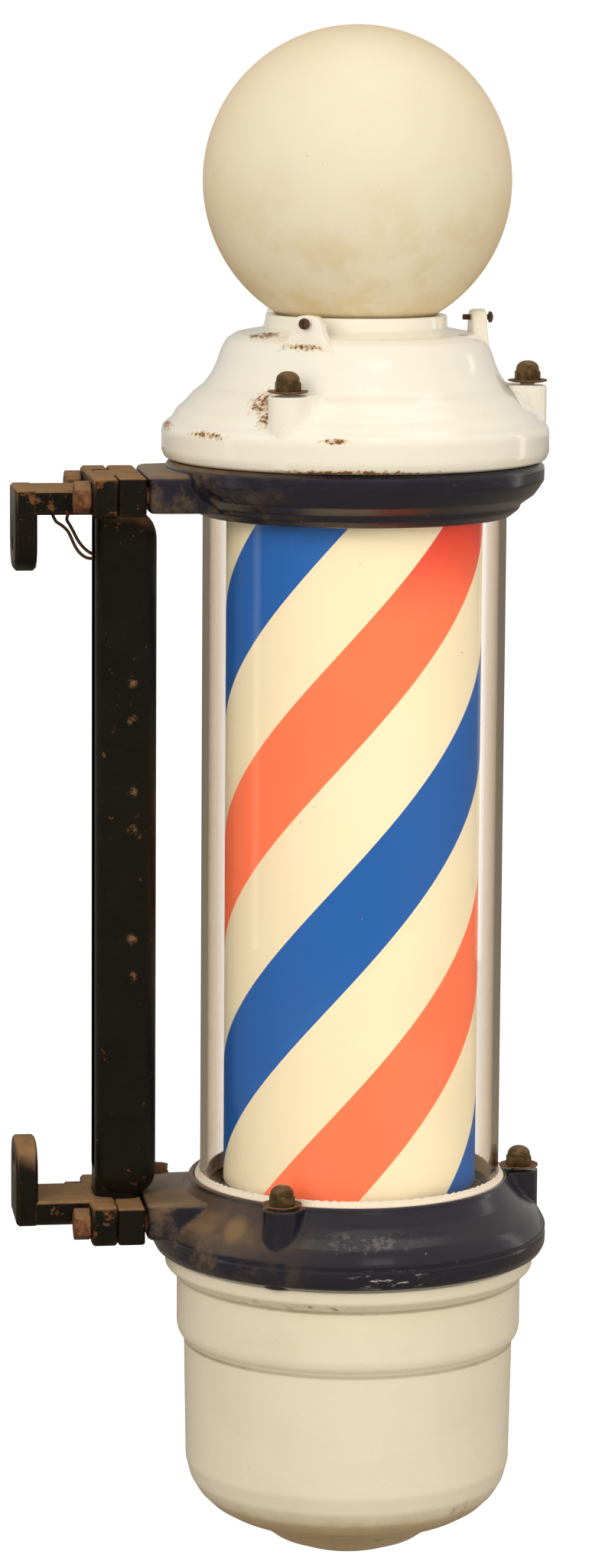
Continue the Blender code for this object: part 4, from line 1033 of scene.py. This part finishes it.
# Painted shade: the downward-facing cone and nose are painted a darker brown below a noisy height.
underside_shade = ramp(tree, uneven, GLOBE_Z - 0.873, GLOBE_Z - 0.892)
body = blend_colour(tree, underside_shade, body, (0.55, 0.395, 0.205))
body = blend_colour(tree, times(tree, chips["Halo"], 0.5), body, (0.50, 0.36, 0.20))
feed(shader, "Base Color", blend_colour(tree, chips["Mask"], body, (0.22, 0.12, 0.05)))
feed(shader, "Roughness", calc(tree, "MULTIPLY_ADD", handled, 0.18, 0.27))
bump(
    tree,
    shader,
    calc(tree, "SUBTRACT", noise(tree, where, 48.0, 3.0), times(tree, chips["Mask"], 0.5)),
    0.22,
    0.0012,
)
grid_piece("enamelled_bowl", turned(bowl_path, 240), bowl_enamel, "root", "bowl_housing")

# ---- Spine column ----
# A round-cornered cast column in black paint, which carries the pole's two arms on one side and the
# wall brackets on the other. It narrows to a square core where the ears cross it.
SPINE_BACK, SPINE_FRONT = -0.1736, -0.133
SPINE_HALF = 0.025
SPINE_CORNER = 0.0118
SPINE_TOP = -0.2176
SPINE_LENGTH = 0.4557
SPINE_END = 0.016
CORE_HALF = 0.020
EAR_BACK, EAR_FRONT = -0.1610, -0.1430
EAR_HALF = 0.050


def rounded_rings(low, high, corner, height):
    """A stack of rectangles with round corners: four quarter circles joined by straight sides.

    low and high hold one (x, y) for each ring, and corner and height hold one number for each.
    """
    turn = np.radians(np.arange(4)[:, None] * 90 + np.linspace(0, 90, 12))
    left, right = low[:, 0] + corner, high[:, 0] - corner
    near_side, far_side = low[:, 1] + corner, high[:, 1] - corner
    middle_x = np.stack([right, left, left, right], axis=1)[..., None]
    middle_y = np.stack([far_side, far_side, near_side, near_side], axis=1)[..., None]
    x = (middle_x + corner[:, None, None] * np.cos(turn)).reshape(len(height), -1)
    y = (middle_y + corner[:, None, None] * np.sin(turn)).reshape(len(height), -1)
    z = np.broadcast_to(height[:, None], x.shape)
    return closed_ends(np.stack([AXIS_X + x, y, GLOBE_Z + z], axis=-1))


def spine_rings():
    """The column's sections: an end draws in by 1 - sqrt(1 - (1 - d)^2), d from 0 at its tip to 1."""
    from_tip = SPINE_END * (1 - np.cos(np.linspace(0, math.pi / 2, 14)))
    depth = np.concatenate([from_tip, np.linspace(0.03, 0.425, 60), SPINE_LENGTH - from_tip[::-1]])
    top_draw, low_draw = (
        1 - np.sqrt(1 - (1 - np.clip(reach / SPINE_END, 0, 1)) ** 2)
        for reach in (depth, SPINE_LENGTH - depth)
    )
    half = SPINE_HALF - 0.004 * top_draw - 0.008 * low_draw
    back = SPINE_BACK + 0.008 * low_draw
    front = SPINE_FRONT - 0.010 * top_draw - 0.011 * low_draw
    low = np.column_stack([back, -half])
    high = np.column_stack([front, half])
    return rounded_rings(low, high, np.full(len(depth), SPINE_CORNER), SPINE_TOP - depth)


black_paint, tree, shader, where = new_finish(
    "worn_black_paint", Roughness=0.36, Specular_IOR_Level=0.15
)
dust = use_group(tree, dust_group, Vector=where, Cover=1.35, Scale=90.0)["Mask"]
level = add_node(tree, "ShaderNodeSeparateXYZ", {"Vector": where}).outputs["Z"]
from_middle = calc(tree, "ABSOLUTE", calc(tree, "SUBTRACT", level, GLOBE_Z - 0.447))
at_ends = ramp(tree, from_middle, 0.205, 0.235)
flaking = calc(tree, "MULTIPLY_ADD", at_ends, 0.16, 0.36)
chips = use_group(tree, chip_group, Vector=where, Amount=flaking, Scale=95.0)
worn = use_group(tree, edge_group, Vector=where, Radius=0.0022, Amount=0.95)["Mask"]
speckle = ramp(tree, noise(tree, where, 260.0, 5.0, 0.7), 0.66, 0.74)
streak_zone = ramp(tree, noise(tree, where, 32.0, 2.0), 0.52, 0.66)
marks = largest(
    tree,
    [
        near(tree, where, (AXIS_X - 0.150, -0.025, GLOBE_Z + height), (0.0045, 0.012, 0.0050))
        for height in (-0.327, -0.3525, -0.400, -0.4255, -0.499, -0.5245)
    ],
)
marks = times(tree, marks, ramp(tree, noise(tree, where, 300.0, 4.0, 0.7), 0.46, 0.56))
rusty = calc(tree, "MAXIMUM", chips["Mask"], worn)
body = blend_colour(
    tree, noise(tree, where, 60.0, 4.0), (0.0045, 0.0038, 0.0028), (0.0120, 0.0095, 0.0062)
)
body = blend_colour(tree, rusty, body, (0.150, 0.062, 0.024))
body = blend_colour(
    tree, times(tree, speckle, times(tree, streak_zone, 0.75)), body, (0.42, 0.37, 0.30)
)
body = blend_colour(tree, times(tree, marks, 0.6), body, (0.30, 0.17, 0.075))
feed(shader, "Base Color", blend_colour(tree, dust, body, (0.29, 0.165, 0.075)))
feed(
    shader,
    "Roughness",
    calc(tree, "MULTIPLY_ADD", calc(tree, "MAXIMUM", rusty, dust), 0.50, 0.30, clamp=True),
)
grain = calc(tree, "SUBTRACT", noise(tree, where, 230.0, 5.0, 0.65), times(tree, rusty, 0.5))
bump(tree, shader, grain, 0.55, 0.0010)

grid_piece("painted_spine", spine_rings(), black_paint, "root", "spine_column")


def eased_copy(node, name, material, body="root", width=0.0006):
    """A merged copy of a frame node with its hard edges eased by a small bevel, standing for that node."""
    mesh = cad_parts[node].data.copy()
    mesh.name = name
    work = bmesh.new()
    work.from_mesh(mesh)
    bmesh.ops.remove_doubles(work, verts=work.verts, dist=2e-6)
    bmesh.ops.dissolve_limit(work, angle_limit=math.radians(1.0), verts=work.verts, edges=work.edges)
    work.to_mesh(mesh)
    work.free()
    mesh.shade_smooth()
    piece = settle(name, mesh, material, body, node)
    easing = piece.modifiers.new("eased_edges", "BEVEL")
    easing.width = width
    easing.segments = 2
    easing.limit_method = "ANGLE"
    easing.angle_limit = math.radians(38)
    easing.harden_normals = True
    return piece


def painted_block(name, low, high, corner, edge):
    """A block of rounded rectangles, drawn in at both ends by a quarter circle of the edge radius."""
    turn = np.linspace(0, math.pi / 2, 7)
    depth = edge * (1 - np.cos(turn))
    draw = edge * (1 - np.sin(turn))
    height = np.concatenate([low[2] + depth, [(low[2] + high[2]) / 2], high[2] - depth[::-1]])
    draw = np.concatenate([draw, [0.0], draw[::-1]])
    rings = rounded_rings(
        low[:2] + draw[:, None], high[:2] - draw[:, None], corner - 0.5 * draw, height
    )
    grid_piece(name, rings, black_paint, "root")


painted_block(
    "spine_core",
    (SPINE_BACK, -CORE_HALF, -0.7005),
    (-0.1434, CORE_HALF, -0.1910),
    corner=0.009,
    edge=0.0006,
)
for level, bottom, top in (("upper", -0.2160, -0.1905), ("lower", -0.7010, -0.6760)):
    painted_block(
        f"{level}_spine_ear",
        (EAR_BACK, -EAR_HALF, bottom),
        (EAR_FRONT, EAR_HALF, top),
        corner=0.0022,
        edge=0.0018,
    )
for level in ("upper", "lower"):
    eased_copy(
        f"{level}_wall_bracket", f"painted_{level}_bracket", black_paint, width=0.0008
    )

# ---- Bracket bolts ----
# Half-inch hexagon bolts, two to a bracket, clamp bracket, ear and ring arm together. They are brown
# with rust all over.
rust, tree, shader, where = new_finish("brown_rust", Roughness=0.72, Specular_IOR_Level=0.35)
flakes = noise(tree, where, 210.0, 6.0, 0.7)
body = blend_colour(tree, ramp(tree, flakes, 0.3, 0.7), (0.070, 0.028, 0.012), (0.25, 0.105, 0.042))
dust = use_group(tree, dust_group, Vector=where, Cover=0.7, Scale=150.0)["Mask"]
feed(shader, "Base Color", blend_colour(tree, dust, body, (0.30, 0.175, 0.085)))
bump(tree, shader, flakes, 0.6, 0.0008)
for level in ("upper", "lower"):
    for side in ("front", "rear"):
        eased_copy(
            f"{level}_{side}_bracket_bolt",
            f"rusty_{level}_{side}_bolt",
            rust,
            width=0.0005,
        )

# ---- Globe screws ----
# Slotted round-head screws hold the globe's neck. They stand backed off from the glass, and have gone
# dark with rust.
dark_rust, tree, shader, where = new_finish("dark_rusted_screw", Roughness=0.6, Specular_IOR_Level=0.4)
flakes = noise(tree, where, 260.0, 5.0, 0.7)
feed(
    shader,
    "Base Color",
    blend_colour(tree, ramp(tree, flakes, 0.3, 0.7), (0.030, 0.016, 0.010), (0.135, 0.066, 0.032)),
)
bump(tree, shader, flakes, 0.5, 0.0004)
for number in (1, 2, 3):
    eased_copy(
        f"globe_screw_{number}",
        f"rusty_globe_screw_{number}",
        dark_rust,
        f"screw_{number}",
        width=0.0002,
    )

# ---- Acorn nuts and dished washers ----
# Domed nuts of darkened brass hold the cap and the lower ring to their studs. Each sits on a rusted
# washer that is dished like a hat's brim.
NUT_FLATS = 0.0159
NUT_DOME = 0.00765
aged_brass, tree, shader, where = new_finish("aged_brass", Metallic=0.85, Roughness=0.5)
tarnish = noise(tree, where, 170.0, 5.0, 0.65)
dust = use_group(tree, dust_group, Vector=where, Cover=0.45, Scale=200.0)["Mask"]
body = blend_colour(tree, ramp(tree, tarnish, 0.32, 0.70), (0.075, 0.045, 0.020), (0.27, 0.17, 0.075))
feed(shader, "Base Color", blend_colour(tree, dust, body, (0.36, 0.24, 0.12)))
feed(shader, "Roughness", calc(tree, "MULTIPLY_ADD", tarnish, 0.35, 0.30))
bump(tree, shader, tarnish, 0.35, 0.0006)


def nut_grid(place):
    """A hexagon h / cos(a) with a cone cut on each end, then a dome d sqrt(1 - u^2.3) of height u."""
    height = np.concatenate([np.linspace(0.0, 0.0064, 12), np.linspace(0.00645, 0.0133, 26)])
    angle = np.linspace(0, math.tau, 96, endpoint=False)
    from_flat = (angle + math.pi / 6) % (math.pi / 3) - math.pi / 6
    flats = (NUT_FLATS / 2 / np.cos(from_flat))[None, :]
    lower_cone = (NUT_FLATS / 2 + 0.0006 + 1.6 * height)[:, None]
    upper_cone = (NUT_FLATS / 2 + 0.0003 + 1.5 * (0.0064 - height))[:, None]
    hexagon = np.minimum(flats, np.minimum(lower_cone, upper_cone))
    up = np.clip((height - 0.0072) / (0.0133 - 0.0072), 0, 1)
    dome = NUT_DOME * np.sqrt(np.clip(1 - up**2.3, 0, 1))
    radius = np.where((height < 0.00642)[:, None], hexagon, dome[:, None])
    grid = np.stack(
        [
            radius * np.cos(angle),
            radius * np.sin(angle),
            np.broadcast_to(height[:, None], radius.shape),
        ],
        -1,
    )
    base = grid[:1] * (0.0, 0.0, 1.0)
    return np.concatenate([base, grid]) + np.array(place)


def washer_grid(place, lean):
    """A dished ring: the brim rises with the fourth power of the radius and leans a little to one side."""
    angle = np.linspace(0, math.tau, 72, endpoint=False)[None, :]
    across = np.concatenate(
        [np.linspace(0.0053, 0.01305, 14), np.linspace(0.01305, 0.0053, 14)]
    )[:, None]
    thick = np.concatenate([np.zeros(14), np.full(14, 0.0009)])[:, None]
    rise = 0.0013 * (across / 0.01305) ** 4
    wave = 0.00016 * np.cos(2 * angle + lean) * (across / 0.01305) ** 2
    height = thick + rise + wave
    grid = np.stack([across * np.cos(angle), across * np.sin(angle), height], axis=-1)
    return grid + np.array(place)


for level, circle, top in (
    ("cap", CAP_BOSS_CIRCLE, CAP_BOSS_TOP + 0.0001), ("ring", LOWER_BOSS_CIRCLE, -0.665)
):
    for number, angle in enumerate(BOSS_ANGLES, 1):
        turn = math.degrees(angle)
        grid_piece(
            f"{level}_dished_washer_{number}",
            washer_grid(on_pole(circle, turn, top + 0.0004), angle * 2 + circle * 40),
            rust,
            "root",
            f"{level}_washer_{number}",
            rows_closed=True,
        )
        grid_piece(
            f"{level}_domed_nut_{number}",
            nut_grid(on_pole(circle, turn, top + 0.0019)),
            aged_brass,
            "root",
            f"{level}_acorn_nut_{number}",
        ).data.set_sharp_from_angle(angle=math.radians(28))

# ---- Cable stub ----
# The motor's old cable was cut off where it leaves the column, and its brown cover has frayed.
cable_cover, tree, shader, where = new_finish("frayed_cable_cover", Roughness=0.9, Sheen_Weight=0.4)
fibre = noise(tree, where, 380.0, 5.0, 0.7)
feed(shader, "Base Color", blend_colour(tree, fibre, (0.05, 0.020, 0.008), (0.28, 0.105, 0.035)))
bump(tree, shader, fibre, 0.9, 0.0008)
stub_low, stub_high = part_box("cable_stub")
stub_centre = [(a + b) / 2 for a, b in zip(stub_low, stub_high)]
stub_radius = (stub_high[2] - stub_low[2]) / 2
reach = stub_high[0] - stub_low[0]
along = np.linspace(0, 1, 20)[:, None]
stub_turn = np.linspace(0, math.tau, 40, endpoint=False)[None, :]
ragged = 1 - 0.22 * (0.5 + 0.5 * np.sin(9 * stub_turn + 2 * np.sin(4 * stub_turn)))
stub_width = stub_radius * (0.93 - 0.30 * along**3) * np.ones_like(stub_turn)
stub_points = np.stack(
    [
        stub_low[0] + reach * along * ragged,
        stub_centre[1] + stub_width * np.cos(stub_turn),
        stub_centre[2] + stub_width * np.sin(stub_turn),
    ],
    axis=-1,
)
grid_piece("cut_cable", closed_ends(stub_points), cable_cover, "root", "cable_stub")

# ---- Lamps, motor and drive ----
# Inside are two lamps on one brass pipe, and a geared motor under a steel plate. These keep the
# frame's own solids, with metals, porcelain and paint added.
plain_steel, tree, shader, where = new_finish("dull_plated_steel", Metallic=0.9, Roughness=0.42)
brushed = noise(
    tree,
    add_node(tree, "ShaderNodeMapping", {"Vector": where, "Scale": (1, 1, 12)}).outputs[0],
    60.0,
    4.0,
)
feed(shader, "Base Color", blend_colour(tree, brushed, (0.34, 0.33, 0.31), (0.52, 0.51, 0.48)))
feed(shader, "Roughness", calc(tree, "MULTIPLY_ADD", brushed, 0.25, 0.30))

turned_brass, tree, shader, where = new_finish("turned_brass", Metallic=1.0, Roughness=0.32)
brushed = noise(
    tree,
    add_node(tree, "ShaderNodeMapping", {"Vector": where, "Scale": (1, 1, 20)}).outputs[0],
    80.0,
    3.0,
)
feed(shader, "Base Color", blend_colour(tree, brushed, (0.50, 0.33, 0.11), (0.66, 0.47, 0.19)))

glazed, tree, shader, where = new_finish("white_porcelain", Roughness=0.2, Coat_Weight=0.5)
crazing = noise(tree, where, 90.0, 4.0)
feed(shader, "Base Color", blend_colour(tree, crazing, (0.80, 0.77, 0.70), (0.88, 0.86, 0.80)))

lamp_glass, tree, shader, where = new_finish(
    "frosted_lamp_glass", Roughness=0.35, Subsurface_Weight=0.3
)
shader.inputs["Subsurface Scale"].default_value = 0.01
frosting = noise(tree, where, 500.0, 2.0)
feed(shader, "Base Color", blend_colour(tree, frosting, (0.84, 0.80, 0.70), (0.90, 0.87, 0.79)))

machine_paint, tree, shader, where = new_finish("grey_machine_paint", Roughness=0.5)
oily = noise(tree, where, 45.0, 5.0, 0.6)
feed(shader, "Base Color", blend_colour(tree, oily, (0.045, 0.050, 0.050), (0.085, 0.090, 0.088)))
feed(shader, "Roughness", calc(tree, "MULTIPLY_ADD", oily, 0.35, 0.30))
bump(tree, shader, noise(tree, where, 400.0, 3.0), 0.3, 0.0004)

INNER_PIECES = {
    plain_steel: ("lamp_bridge", "motor_plate", "spindle", "cylinder_base_disc", "cylinder_top_spider"),
    turned_brass: ("lamp_pipe", "spindle_bush", "spindle_gear", "drive_pinion"),
    glazed: ("globe_socket", "cylinder_socket"),
    lamp_glass: ("globe_bulb", "cylinder_bulb"),
    machine_paint: ("gearbox", "motor"),
}
studs = tuple(f"{level}_stud_{number}" for level in ("cap", "ring") for number in (1, 2, 3))
INNER_PIECES[plain_steel] += studs
for finish, nodes in INNER_PIECES.items():
    for node in nodes:
        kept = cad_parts[node]
        kept.data.materials.clear()
        kept.data.materials.append(finish)
